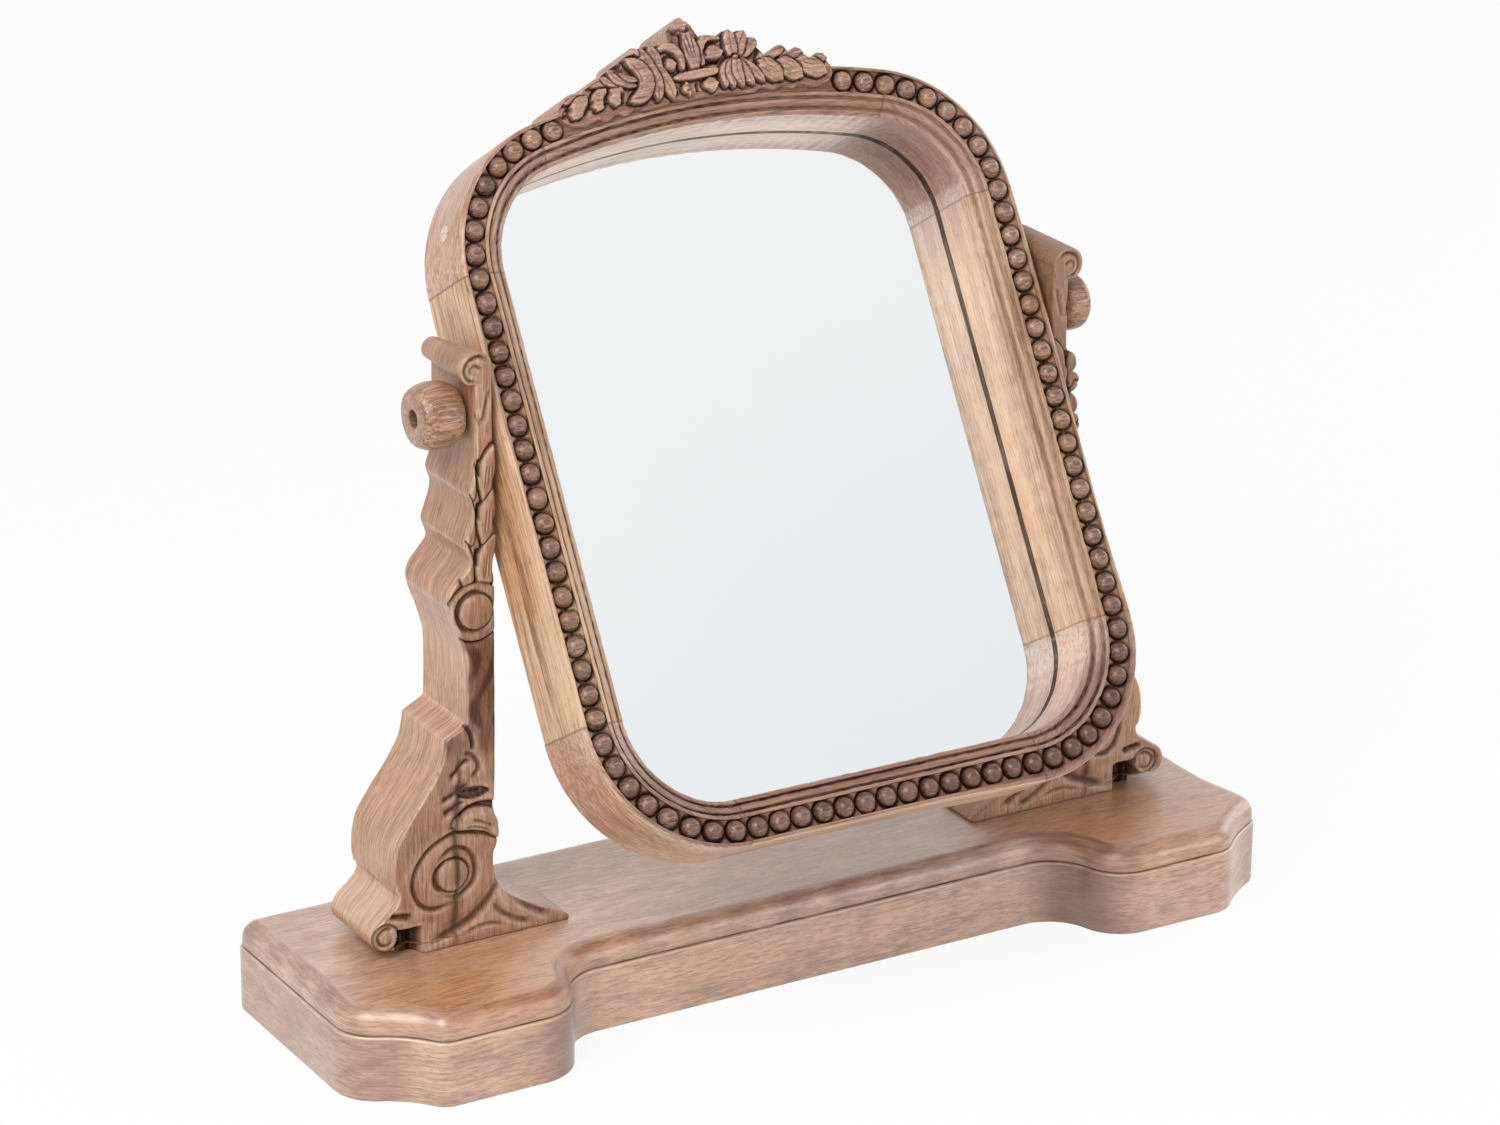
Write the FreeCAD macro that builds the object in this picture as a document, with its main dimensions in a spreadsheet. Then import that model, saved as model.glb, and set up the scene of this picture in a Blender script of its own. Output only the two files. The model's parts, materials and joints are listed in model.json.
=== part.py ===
"""Tilting table mirror: a shaped base board, two carved scroll posts and a deep arched mirror frame.

The frame of the part: +X to the right, +Y to the back, +Z up, with the origin in the middle of the
base board's underside. The mirror's own pieces are drawn upright about the pivot line, with local
X along the pivot, local Y to the back and local Z up the glass, and are then tilted back together.
"""
import FreeCAD, Part
import math
import os
import Sketcher

Vector = FreeCAD.Vector

# Driving dimensions in millimetres and degrees: name, value, what it is.
SIZES = (
    ("base_width", 604, "base board from end to end"),
    ("base_depth", 177.5, "base board from front to back"),
    ("base_side_height", 39, "plain side below the moulding"),
    ("mould_height", 15, "moulding above the plain side"),
    ("mould_run", 11.5, "how far the moulding draws in"),
    ("mould_quirk", 1.2, "small step under the moulding"),
    ("recess_width_share", 0.487, "straight part of the front recess, share of the base width"),
    ("recess_depth", 43, "front recess, front to back"),
    ("ogee_run", 56, "curved side of the recess, along the front"),
    ("corner_front_radius", 14, "front corner, rounding next to the front"),
    ("corner_scoop_radius", 60, "front corner, hollow in the middle"),
    ("corner_end_radius", 18, "front corner, rounding next to the end"),
    ("corner_steep_angle", 55, "front corner, heading into the hollow"),
    ("corner_flat_angle", 25, "front corner, heading out of the hollow"),
    ("arris_radius", 0.5, "top of the base, at its back corners"),
    ("rest_tilt", 31.27, "how far the mirror leans back at rest"),
    ("pivot_rise", 309, "pivot line above the top of the base"),
    ("pivot_setback", 13.75, "pivot line behind the middle of the base"),
    ("bead_half_width", 169, "middle of the bead row, from the middle of the mirror"),
    ("corner_radius", 73, "frame corners, at the bead row"),
    ("stile_rise", 69, "straight stile above the pivot"),
    ("stile_drop", 186, "straight stile below the pivot"),
    ("top_arc_radius", 500, "arch of the top rail, at the bead row"),
    ("frame_lip", 9, "bead row to the frame's outer wall"),
    ("sight_inset", 18, "bead row to the wall around the glass"),
    ("rim_width", 2.6, "flat rim outside the bead channel"),
    ("rim_level", 19.5, "front of the rim, ahead of the pivot line"),
    ("channel_depth", 4, "bead channel below the rim"),
    ("lip_step", 1, "inner lip below the rim"),
    ("lip_width", 2.6, "flat of the inner lip"),
    ("sight_drop", 8.5, "inner edge below the rim"),
    ("reveal_depth", 34.5, "wall around the glass"),
    ("glass_rebate", 7, "width of the rebate that holds the glass"),
    ("glass_thickness", 4, "mirror glass"),
    ("panel_rebate", 8, "width of the rebate that holds the back panel"),
    ("panel_thickness", 4, "back panel"),
    ("panel_margin", 1, "frame behind the back panel"),
    ("pane_clearance", 0.5, "glass and panel to the walls of their rebates"),
    ("bead_diameter", 12.2, "pearl beads"),
    ("bead_pitch", 13.8, "from bead to bead"),
    ("bead_lift", 1.2, "centre of a bead above the channel floor"),
    ("crest_width_share", 0.5207, "carved crest, share of the bead row's width"),
    ("crest_shift", 8, "middle of the crest to the left of the mirror's, along the arch"),
    ("crest_rise", 33, "peak of the crest above the top rail"),
    ("crest_depth", 44, "crest from front to back"),
    ("crest_relief", 5, "front of the crest ahead of the rim"),
    ("frame_gap", 4.5, "frame to post, filled by the friction washer"),
    ("post_depth", 53, "posts from front to back"),
    ("post_lead", 21, "front of the posts ahead of the pivot line"),
    ("post_spread", 68.5, "inner face of a post to its widest point"),
    ("neck_thickness", 10, "post at the pivot"),
    ("scroll_radius", 10, "scroll at the top of a post"),
    ("scroll_rise", 30, "middle of the top scroll above the pivot"),
    ("ring_radius", 16, "round boss on a post"),
    ("ring_drop", 107, "middle of the boss below the pivot"),
    ("ring_offset", 12.5, "middle of the boss from the post's inner face"),
    ("foot_scroll_radius", 9.5, "scroll at the foot of a post"),
    ("foot_scroll_offset", 69, "middle of the foot scroll from the post's inner face"),
    ("toe_length", 45.5, "toe of a post, inwards"),
    ("toe_height", 41, "toe of a post, upwards"),
    ("toe_depth", 33, "toe of a post, front to back"),
    ("knob_diameter", 38, "turned knobs"),
    ("knob_length", 27, "knob between its flat ends"),
    ("knob_socket_diameter", 10, "hole in the knob's outer end"),
    ("knob_socket_depth", 15, "depth of that hole"),
    ("bolt_diameter", 6, "pivot bolts"),
    ("bolt_head_diameter", 9.4, "head of a pivot bolt"),
    ("bolt_head_height", 5, "height of that head"),
    ("bolt_reach", 12, "bolt inside the threaded insert"),
    ("insert_diameter", 10, "threaded inserts in the stiles"),
    ("insert_length", 15, "length of an insert"),
    ("washer_diameter", 18, "washers under the knobs"),
    ("washer_thickness", 1, "thickness of those washers"),
    ("friction_diameter", 24, "friction washers between frame and posts"),
    ("running_clearance", 0.08, "turning bolts, at the radius"),
    ("glue_gap", 0.1, "glued and screwed pieces, at the radius"),
    ("dowel_diameter", 8, "dowels"),
    ("dowel_length", 40, "dowels in the frame's joints"),
    ("dowel_end_gap", 1, "dowel holes beyond the dowel"),
    ("crest_dowel_length", 22, "dowels under the crest"),
    ("crest_dowel_offset", 18, "those dowels from the middle"),
    ("plug_diameter", 10, "wood plugs in the top corners"),
    ("plug_length", 12, "length of a plug"),
    ("plug_angle", 21.8, "plugs above the stile joint, about the corner's centre"),
    ("post_screw_diameter", 5, "screws into the posts"),
    ("post_screw_length", 68, "length of those screws"),
    ("post_screw_head", 10, "head diameter of those screws"),
    ("post_screw_head_height", 3.5, "head height of those screws"),
    ("post_screw_socket", 12, "hole for the head, in the underside"),
    ("post_screw_socket_depth", 18, "depth of that hole"),
    ("post_screw_offset", 14, "first screw from the post's inner face"),
    ("post_screw_spacing", 32, "from the first screw to the second"),
    ("panel_screw_diameter", 3, "screws that hold the back panel"),
    ("panel_screw_length", 11, "length of those screws"),
    ("panel_screw_head", 6, "head diameter of those screws"),
    ("panel_screw_head_height", 2, "head height of those screws"),
    ("panel_screw_spacing", 90, "from screw to screw along the frame"),
    ("overrun", 5, "how far a cut runs past the solid"),
)

# Post outline, outer side, from the neck down: shares of the post's spread and of the pivot's rise.
POST_LEAF_SHARES = (
    (0.248, 0.929), (0.209, 0.896), (0.253, 0.864), (0.216, 0.825), (0.289, 0.767), (0.260, 0.730),
    (0.365, 0.699), (0.413, 0.667), (0.390, 0.628), (0.323, 0.579), (0.279, 0.531),
)
POST_NECK_END_SHARE = 0.945
POST_COLUMN_END_SHARES = (0.267, 0.429)
POST_COVE_SHARES = ((0.302, 0.420), (0.442, 0.409))
POST_BELLY_SHARES = (
    (0.472, 0.396), (0.533, 0.353), (0.657, 0.311), (0.804, 0.270), (0.937, 0.228), (0.994, 0.191),
    (0.997, 0.155), (0.971, 0.123), (1.000, 0.100), (1.060, 0.080),
)
# Toe of a post: shares of its length and height, from its tip to the post.
TOE_SHARES = ((1.0, 0.0), (0.956, 0.146), (0.736, 0.293), (0.407, 0.561), (0.0, 1.0))

# Crest outline, right half from the peak down: shares of the crest's half width and of its rise.
# A row is the point it goes to, after the point that an arc passes through on the way, if there is one.
CREST_PEAK_SHARES = (0.091, 0.652)
CREST_SHARES = (
    ((0.172, 0.611), (0.229, 0.557)),
    ((0.325, 0.638), (0.348, 0.566)),
    ((0.425, 0.602), (0.435, 0.457)),
    ((0.500, 0.363), (0.453, 0.167)),
    ((0.481, 0.045),),
    ((0.590, 0.152),),
    ((0.676, 0.214), (0.701, 0.096)),
    ((0.800, 0.099), (0.833, -0.046)),
    ((0.873, -0.071),),
    ((0.958, -0.049), (0.987, -0.149)),
)


class Size:
    """A length or an angle: its expression on the sheet, and the value it has now."""

    def __init__(self, text, value):
        self.text = text
        self.value = value

    def joined(self, sign, other, value):
        return Size(f"({self.text} {sign} {text_of(other)})", value)

    def __add__(self, other):
        return self.joined("+", other, self.value + value_of(other))

    def __sub__(self, other):
        return self.joined("-", other, self.value - value_of(other))

    def __mul__(self, other):
        return self.joined("*", other, self.value * value_of(other))

    def __truediv__(self, other):
        return self.joined("/", other, self.value / value_of(other))

    def __neg__(self):
        return Size(f"(0 - {self.text})", -self.value)


def text_of(term):
    return term.text if isinstance(term, Size) else str(term)


def value_of(term):
    return term.value if isinstance(term, Size) else term


def root(size):
    return Size(f"sqrt({size.text})", math.sqrt(size.value))


def sine(angle):
    return Size(f"sin({angle.text})", math.sin(math.radians(angle.value)))


def cosine(angle):
    return Size(f"cos({angle.text})", math.cos(math.radians(angle.value)))


def arcsine(size):
    return Size(f"(asin({size.text}) / (1 deg))", math.degrees(math.asin(size.value)))


doc = FreeCAD.newDocument("table_mirror")
sheet = doc.addObject("Spreadsheet::Sheet", "Sizes")
size = {}
for row, (name, number, meaning) in enumerate(SIZES, start=1):
    sheet.set(f"A{row}", meaning)
    sheet.set(f"B{row}", str(number))
    sheet.setAlias(f"B{row}", name)
doc.recompute()
for name, number, meaning in SIZES:
    size[name] = Size(f"Sizes.{name}", float(sheet.get(name)))

# Sizes that follow from the driving ones.
base_front = -size["base_depth"] / 2
base_back = size["base_depth"] / 2
base_top = size["base_side_height"] + size["mould_height"]
back_radius = size["mould_run"] + size["arris_radius"]
pivot_height = base_top + size["pivot_rise"]
corner_centre = size["bead_half_width"] - size["corner_radius"]
arc_reach = size["top_arc_radius"] - size["corner_radius"]
arc_drop = root(arc_reach * arc_reach - corner_centre * corner_centre) - size["stile_rise"]
rail_angle = arcsine(corner_centre / arc_reach)
rail_top = size["top_arc_radius"] + size["frame_lip"] - arc_drop
crest_half = size["bead_half_width"] * size["crest_width_share"]
crest_turn = arcsine(size["crest_shift"] / (size["top_arc_radius"] + size["frame_lip"]))
bottom_bead = size["stile_drop"] + size["corner_radius"]
channel_half = size["frame_lip"] - size["rim_width"]
channel_floor = size["rim_level"] - size["channel_depth"]
sight_level = size["rim_level"] - size["sight_drop"]
glass_seat = sight_level - size["reveal_depth"]
panel_seat = glass_seat - size["glass_thickness"]
panel_back = panel_seat - size["panel_thickness"]
frame_back = panel_back - size["panel_margin"]
glass_wall = size["glass_rebate"] - size["sight_inset"]
panel_wall = glass_wall + size["panel_rebate"]
panel_screw_line = glass_wall + size["panel_rebate"] / 2
frame_side = size["bead_half_width"] + size["frame_lip"]
post_inner = frame_side + size["frame_gap"]
post_front = size["pivot_setback"] - size["post_lead"]
neck_outer = post_inner + size["neck_thickness"]
dowel_line = (size["frame_lip"] - size["sight_inset"]) / 2
dowel_level = (channel_floor + glass_seat) / 2
dowel_hole = size["dowel_diameter"] / 2 + size["glue_gap"]
dowel_hole_depth = size["dowel_length"] / 2 + size["dowel_end_gap"]
bolt_bore = size["bolt_diameter"] / 2 + size["running_clearance"]
NOTHING = Size("0", 0.0)
QUARTER_TURN = Size("90", 90.0)
pieces = []


def bind(thing, prop, term):
    """Tie a property to the sheet."""
    thing.setExpression(prop, text_of(term))


def keep(thing, label):
    """Name a finished piece and put it on the list to write."""
    thing.Label = label
    pieces.append(thing)
    return thing


def place(thing, x, y, z, axis=None, angle=None):
    """Put a piece where its sizes say, turned about an axis if one is given."""
    turn = FreeCAD.Rotation()
    if axis is not None:
        turn = FreeCAD.Rotation(axis, value_of(angle))
    thing.Placement = FreeCAD.Placement(Vector(value_of(x), value_of(y), value_of(z)), turn)
    for prop, term in (("x", x), ("y", y), ("z", z)):
        bind(thing, f"Placement.Base.{prop}", term)
    if axis is not None:
        bind(thing, "Placement.Rotation.Angle", angle)


def lean(thing):
    """Tilt a piece of the mirror back to its rest pose about the pivot line."""
    place(thing, 0, size["pivot_setback"], pivot_height, Vector(1, 0, 0), -size["rest_tilt"])


def mirrored(source, label):
    """The same piece on the other side of the part."""
    twin = doc.addObject("Part::Mirroring", label)
    twin.Source = source
    twin.Normal = Vector(1, 0, 0)
    return keep(twin, label)


def new_body(name):
    return doc.addObject("PartDesign::Body", name)


def sketch_on(body, name, role, x=0, y=0, z=0, turn=None):
    """A sketch on one of the body's own planes, moved along its own axes and turned about its X."""
    sketch = body.newObject("Sketcher::SketchObject", name)
    plane = next(item for item in body.Origin.OriginFeatures if item.Role == role)
    sketch.AttachmentSupport = (plane, [""])
    sketch.MapMode = "FlatFace"
    rotation = FreeCAD.Rotation()
    if turn is not None:
        rotation = FreeCAD.Rotation(Vector(1, 0, 0), turn.value)
    sketch.AttachmentOffset = FreeCAD.Placement(Vector(value_of(x), value_of(y), value_of(z)), rotation)
    for prop, term in (("x", x), ("y", y), ("z", z)):
        bind(sketch, f"AttachmentOffset.Base.{prop}", term)
    if turn is not None:
        bind(sketch, "AttachmentOffset.Rotation.Angle", turn)
    return sketch


def measure(sketch, kind, *terms):
    """Add a dimension to a sketch and tie it to the sheet."""
    index = sketch.addConstraint(Sketcher.Constraint(kind, *terms[:-1], float(value_of(terms[-1]))))
    if isinstance(terms[-1], Size):
        bind(sketch, f"Constraints[{index}]", terms[-1])


def pin(sketch, line, point, x, y):
    """Fix a point of a sketch at its distances from the sketch's origin."""
    measure(sketch, "DistanceX", -1, 1, line, point, x)
    measure(sketch, "DistanceY", -1, 1, line, point, y)


def arc_between(start, end, radius, turn):
    """The shorter arc from start to end, turning left (1) or right (-1)."""
    chord = end - start
    rise = math.sqrt(max(radius ** 2 - (chord.Length / 2) ** 2, 0))
    side = Vector(-chord.y, chord.x, 0).normalize()
    centre = (start + end) / 2 + side * rise * turn
    first, last = (start, end) if turn > 0 else (end, start)
    angles = [math.atan2(point.y - centre.y, point.x - centre.x) for point in (first, last)]
    return Part.ArcOfCircle(Part.Circle(centre, Vector(0, 0, 1), radius), *angles)


def draw(sketch, steps):
    """Draw a closed outline. A step is the point it goes to, with a radius and a turn for an arc."""
    tails = []
    heads = []
    for index, step in enumerate(steps):
        start = Vector(*[value_of(term) for term in steps[index - 1][:2]], 0)
        end = Vector(*[value_of(term) for term in step[:2]], 0)
        if len(step) > 2:
            line = arc_between(start, end, value_of(step[2]), step[3])
            tails.append(1 if step[3] > 0 else 2)
        else:
            line = Part.LineSegment(start, end)
            tails.append(1)
        heads.append(3 - tails[-1])
        sketch.addGeometry(line)
    for index, step in enumerate(steps):
        following = (index + 1) % len(steps)
        joint = (index, heads[index], following, tails[following])
        sketch.addConstraint(Sketcher.Constraint("Coincident", *joint))
        pin(sketch, index, heads[index], step[0], step[1])
        if len(step) > 2:
            measure(sketch, "Radius", index, step[2])


def draw_circle(sketch, x, y, radius):
    centre = Vector(value_of(x), value_of(y), 0)
    line = sketch.addGeometry(Part.Circle(centre, Vector(0, 0, 1), value_of(radius)))
    pin(sketch, line, 3, x, y)
    measure(sketch, "Radius", line, radius)


def both_sides(half_steps):
    """Complete an outline from its right half, which runs from the middle round to the middle."""
    steps = list(half_steps)
    for index in range(len(half_steps) - 1, -1, -1):
        arc = half_steps[index + 1][2:] if index + 1 < len(half_steps) else ()
        steps.append((-half_steps[index][0], half_steps[index][1]) + tuple(arc))
    return steps


def pad(body, sketch, length, reverse=False, middle=False):
    feature = body.newObject("PartDesign::Pad", sketch.Name + "_pad")
    feature.Profile = sketch
    feature.Reversed = reverse
    feature.Midplane = middle
    bind(feature, "Length", length)
    return feature


def revolve(body, sketch, axis, angle, reverse=False, middle=False):
    feature = body.newObject("PartDesign::Revolution", sketch.Name + "_turn")
    feature.Profile = sketch
    feature.ReferenceAxis = (sketch, [axis])
    feature.Reversed = reverse
    feature.Midplane = middle
    bind(feature, "Angle", angle)
    return feature


def cut(body, sketch, depth, forward=False):
    """Pocket a sketch into its body, against the sketch's normal or along it, and see that it cut."""
    doc.recompute()
    before = body.Shape.Volume
    feature = body.newObject("PartDesign::Pocket", sketch.Name + "_cut")
    feature.Profile = sketch
    feature.Reversed = forward
    bind(feature, "Length", depth)
    doc.recompute()
    if body.Shape.Volume >= before:
        raise RuntimeError(f"{sketch.Name} cut nothing")
    return feature


def group(label, copies):
    """One node of separate solids: placed copies of other pieces."""
    bunch = doc.addObject("Part::Compound", label)
    bunch.Links = copies
    return keep(bunch, label)


def copy_of(source, name, x, y, z, axis=None, angle=None):
    link = doc.addObject("App::Link", name)
    link.LinkedObject = source
    place(link, x, y, z, axis, angle)
    return link


def ring(name, outer, bore, length):
    """A plain ring about X, from its inner end outwards."""
    body = new_body(name)
    sketch = sketch_on(body, name + "_section", "YZ_Plane")
    draw_circle(sketch, 0, 0, outer)
    draw_circle(sketch, 0, 0, bore)
    pad(body, sketch, length)
    return body


def turned(name, role, axis, steps):
    """A piece turned on a lathe: its half section, swept all the way round."""
    body = new_body(name)
    sketch = sketch_on(body, name + "_section", role)
    draw(sketch, steps)
    revolve(body, sketch, axis, 360)
    return body


def screw(name, diameter, head, head_height, length):
    """A pan-head screw along Z, from the top of its head at the origin to its tip."""
    radius = diameter / 2
    return turned(name, "XZ_Plane", "V_Axis", [
        (0, 0), (head / 2, 0), (head / 2, head_height), (radius, head_height), (radius, length - diameter),
        (0, length),
    ])


def base_half(inset):
    """Right half of the base board's plan, drawn in all round by an inset."""
    end = size["base_width"] / 2
    recess = end * size["recess_width_share"]
    run = size["ogee_run"]
    depth = size["recess_depth"]
    ogee = (run * run + depth * depth) / (depth * 4)
    recess_front = base_front + depth
    ogee_share = (ogee + inset) / (ogee * 2)
    steep = size["corner_steep_angle"]
    flat = size["corner_flat_angle"]
    front_round = size["corner_front_radius"]
    scoop = size["corner_scoop_radius"]
    end_round = size["corner_end_radius"]
    corner_run = front_round * sine(steep) + scoop * (sine(steep) - sine(flat))
    front_x = end - end_round + end_round * sine(flat) - corner_run
    front_y = base_front + front_round
    scoop_x = front_x + (front_round + scoop) * sine(steep)
    scoop_y = front_y - (front_round + scoop) * cosine(steep)
    return [
        (recess, recess_front + inset),
        (recess + run * ogee_share, recess_front - ogee + (ogee * 2 - depth) * ogee_share,
         ogee + inset, -1),
        (recess + run, base_front + inset, ogee - inset, 1),
        (front_x, base_front + inset),
        (front_x + (front_round - inset) * sine(steep), front_y - (front_round - inset) * cosine(steep),
         front_round - inset, 1),
        (scoop_x - (scoop + inset) * sine(flat), scoop_y + (scoop + inset) * cosine(flat), scoop + inset, -1),
        (end - inset, scoop_y + (scoop + end_round) * cosine(flat), end_round - inset, 1),
        (end - inset, base_back - back_radius),
        (end - back_radius, base_back - inset, back_radius - inset, 1),
    ]


def post_screw_places():
    first = post_inner + size["post_screw_offset"]
    return [first * side + size["post_screw_spacing"] * (side * step) for side in (-1, 1) for step in (0, 1)]


def make_base():
    """Base board with its moulded top edge and screw holes."""
    body = new_body("base_board")
    plan = sketch_on(body, "base_plan", "XY_Plane")
    draw(plan, both_sides(base_half(NOTHING)))
    pad(body, plan, size["base_side_height"])
    mould_plan = sketch_on(body, "mould_plan", "XY_Plane", z=size["base_side_height"])
    draw(mould_plan, both_sides(base_half(size["mould_quirk"])))
    block = pad(body, mould_plan, size["mould_height"])
    doc.recompute()
    tiny = size["glue_gap"].value
    edges = []
    for index, edge in enumerate(block.Shape.Edges, start=1):
        if edge.BoundBox.ZMin > base_top.value - tiny:
            edges.append(f"Edge{index}")
    ovolo = body.newObject("PartDesign::Fillet", "mould_ovolo")
    ovolo.Base = (block, edges)
    bind(ovolo, "Radius", size["mould_run"] - size["mould_quirk"])
    pilots = sketch_on(body, "screw_pilots", "XY_Plane")
    sockets = sketch_on(body, "screw_sockets", "XY_Plane")
    for x in post_screw_places():
        draw_circle(pilots, x, size["pivot_setback"], size["post_screw_diameter"] / 2 + size["glue_gap"])
        draw_circle(sockets, x, size["pivot_setback"], size["post_screw_socket"] / 2)
    cut(body, pilots, base_top, forward=True)
    cut(body, sockets, size["post_screw_socket_depth"], forward=True)
    keep(body, "base_board")


def make_post_screws():
    """Screws from the underside of the base into the posts."""
    pattern = screw("post_screw", size["post_screw_diameter"], size["post_screw_head"],
                    size["post_screw_head_height"], size["post_screw_length"])
    seat = size["post_screw_socket_depth"] - size["post_screw_head_height"]
    copies = []
    for index, x in enumerate(post_screw_places()):
        copies.append(copy_of(pattern, f"post_screw_{index}", x, size["pivot_setback"], seat))
    group("post_screws", copies)


def smooth(points, start_way=None, end_way=None):
    """A smooth curve through points, with its ways in and out where they are given."""
    curve = Part.BSplineCurve()
    if start_way is None:
        curve.interpolate(points)
    else:
        curve.interpolate(points, InitialTangent=start_way, FinalTangent=end_way)
    return curve.toShape()


def slab(edges, depth):
    """A closed outline drawn on the front of a post, carried back."""
    return Part.Face(Part.Wire(Part.sortEdges(edges)[0])).extrude(Vector(0, depth, 0))


def make_posts():
    """Scroll posts: a sawn outline with round scrolls and a boss, bored for the pivot and the screws."""
    front = post_front.value
    inner = post_inner.value
    foot = base_top.value
    pivot = pivot_height.value
    depth = size["post_depth"].value

    def at(share_x, share_z):
        across = inner + share_x * size["post_spread"].value
        return Vector(across, front, foot + share_z * size["pivot_rise"].value)

    def line(start, end):
        return Part.LineSegment(start, end).toShape()

    scroll = Vector(inner + size["scroll_radius"].value, front, pivot + size["scroll_rise"].value)
    neck_top = Vector(neck_outer.value, front, scroll.z)
    neck_end = Vector(neck_outer.value, front, at(0, POST_NECK_END_SHARE).z)
    leaves = [neck_end] + [at(*shares) for shares in POST_LEAF_SHARES]
    column_end = at(*POST_COLUMN_END_SHARES)
    cove_middle, cove_end = [at(*shares) for shares in POST_COVE_SHARES]
    belly = [cove_end] + [at(*shares) for shares in POST_BELLY_SHARES]
    foot_radius = size["foot_scroll_radius"].value
    foot_scroll = Vector(inner + size["foot_scroll_offset"].value, front, foot + foot_radius)
    foot_outer = Vector(foot_scroll.x, front, foot)
    foot_inner = Vector(inner, front, foot)
    inner_top = Vector(inner, front, scroll.z)
    column = slab([
        line(inner_top, neck_top), line(neck_top, neck_end), smooth(leaves), line(leaves[-1], column_end),
        Part.Arc(column_end, cove_middle, cove_end).toShape(), smooth(belly), line(belly[-1], foot_scroll),
        line(foot_scroll, foot_outer), line(foot_outer, foot_inner), line(foot_inner, inner_top),
    ], depth)
    back_way = Vector(0, 1, 0)
    boss = Vector(inner + size["ring_offset"].value, front, pivot - size["ring_drop"].value)
    rounds = [
        Part.makeCylinder(size["scroll_radius"].value, depth, scroll, back_way),
        Part.makeCylinder(size["ring_radius"].value, depth, boss, back_way),
        Part.makeCylinder(foot_radius, depth, foot_scroll, back_way),
    ]
    room = Part.makeBox(size["base_width"].value, depth, scroll.z + depth, Vector(inner, front, 0))
    post = column.fuse(rounds).common(room)
    toe_length = size["toe_length"].value
    toe_height = size["toe_height"].value
    sweep = [Vector(inner - x * toe_length, front, foot + z * toe_height) for x, z in TOE_SHARES]
    toe_back = Vector(neck_outer.value, front, sweep[-1].z)
    toe_root = Vector(neck_outer.value, front, foot)
    toe = slab([smooth(sweep), line(sweep[-1], toe_back), line(toe_back, toe_root), line(toe_root, sweep[0])],
               size["toe_depth"].value)
    post = post.fuse(toe).removeSplitter()
    middle = size["pivot_setback"].value
    over = size["overrun"].value
    reach = size["post_spread"].value + over
    bore_start = Vector(inner - over, middle, pivot)
    post = post.cut(Part.makeCylinder(bolt_bore.value, reach, bore_start, Vector(1, 0, 0)))
    grip = size["post_screw_socket_depth"] - size["post_screw_head_height"] + size["post_screw_length"]
    hole_depth = (grip - base_top + size["dowel_end_gap"]).value
    hole_radius = (size["post_screw_diameter"] / 2 + size["glue_gap"]).value
    for x in post_screw_places():
        if x.value > 0:
            post = post.cut(Part.makeCylinder(hole_radius, hole_depth, Vector(x.value, middle, foot)))
    right = doc.addObject("Part::Feature", "right_post")
    right.Shape = post
    keep(right, "right_post")
    mirrored(right, "left_post")


def frame_section():
    """Section of the mirror frame: distance outwards from the bead row, and level ahead of the pivot."""
    lip_level = size["rim_level"] - size["lip_step"]
    return [
        (size["frame_lip"], frame_back), (size["frame_lip"], size["rim_level"]),
        (channel_half, size["rim_level"]), (channel_half, channel_floor),
        (-channel_half, channel_floor), (-channel_half, lip_level),
        (-channel_half - size["lip_width"], lip_level), (-size["sight_inset"], sight_level),
        (-size["sight_inset"], glass_seat), (glass_wall, glass_seat), (glass_wall, panel_seat),
        (panel_wall, panel_seat), (panel_wall, frame_back),
    ]


def panel_screw_places():
    """Where the back panel is screwed to the frame: across and up from the pivot, by frame member."""
    stile = size["bead_half_width"] + panel_screw_line
    middle = (size["stile_rise"] - size["stile_drop"]) / 2
    spacing = size["panel_screw_spacing"]
    half = spacing / 2
    arc = size["top_arc_radius"] + panel_screw_line
    top = root(arc * arc - half * half) - arc_drop
    return {
        "left_stile": [(-stile, middle + spacing * step) for step in (-1, 0, 1)],
        "right_stile": [(stile, middle + spacing * step) for step in (-1, 0, 1)],
        "top_rail": [(half * side, top) for side in (-1, 1)],
        "bottom_rail": [(half * side, -bottom_bead - panel_screw_line) for side in (-1, 1)],
    }


def drill_for_panel(body, member):
    """Pilot holes for the back panel's screws in a frame member."""
    sketch = sketch_on(body, member + "_pilots", "XZ_Plane", z=panel_seat)
    for u, v in panel_screw_places()[member]:
        draw_circle(sketch, u, v, size["panel_screw_diameter"] / 2 + size["glue_gap"])
    cut(body, sketch, size["panel_screw_length"], forward=True)


def drill_for_dowel(body, name, role, x, y, z=0, level=0, turn=None, forward=False):
    """A dowel hole at a joint: the joint's plane, moved and turned, and the hole's place on it."""
    sketch = sketch_on(body, name, role, y=level, z=z, turn=turn)
    draw_circle(sketch, x, y, dowel_hole)
    cut(body, sketch, dowel_hole_depth, forward)


def make_stiles():
    """Straight sides of the frame, bored for the dowels and for the pivot's threaded insert."""
    body = new_body("left_stile")
    section = sketch_on(body, "stile_section", "XY_Plane", z=-size["stile_drop"])
    draw(section, [(-size["bead_half_width"] - out, -level) for out, level in frame_section()])
    pad(body, section, size["stile_rise"] + size["stile_drop"])
    x = -size["bead_half_width"] - dowel_line
    drill_for_dowel(body, "stile_top_hole", "XY_Plane", x, -dowel_level, z=size["stile_rise"])
    drill_for_dowel(body, "stile_foot_hole", "XY_Plane", x, -dowel_level, z=-size["stile_drop"], forward=True)
    socket = sketch_on(body, "insert_socket", "YZ_Plane", z=-frame_side)
    draw_circle(socket, 0, 0, size["insert_diameter"] / 2 + size["glue_gap"])
    cut(body, socket, size["insert_length"], forward=True)
    drill_for_panel(body, "left_stile")
    lean(body)
    keep(body, "left_stile")
    mirrored(body, "right_stile")


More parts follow.
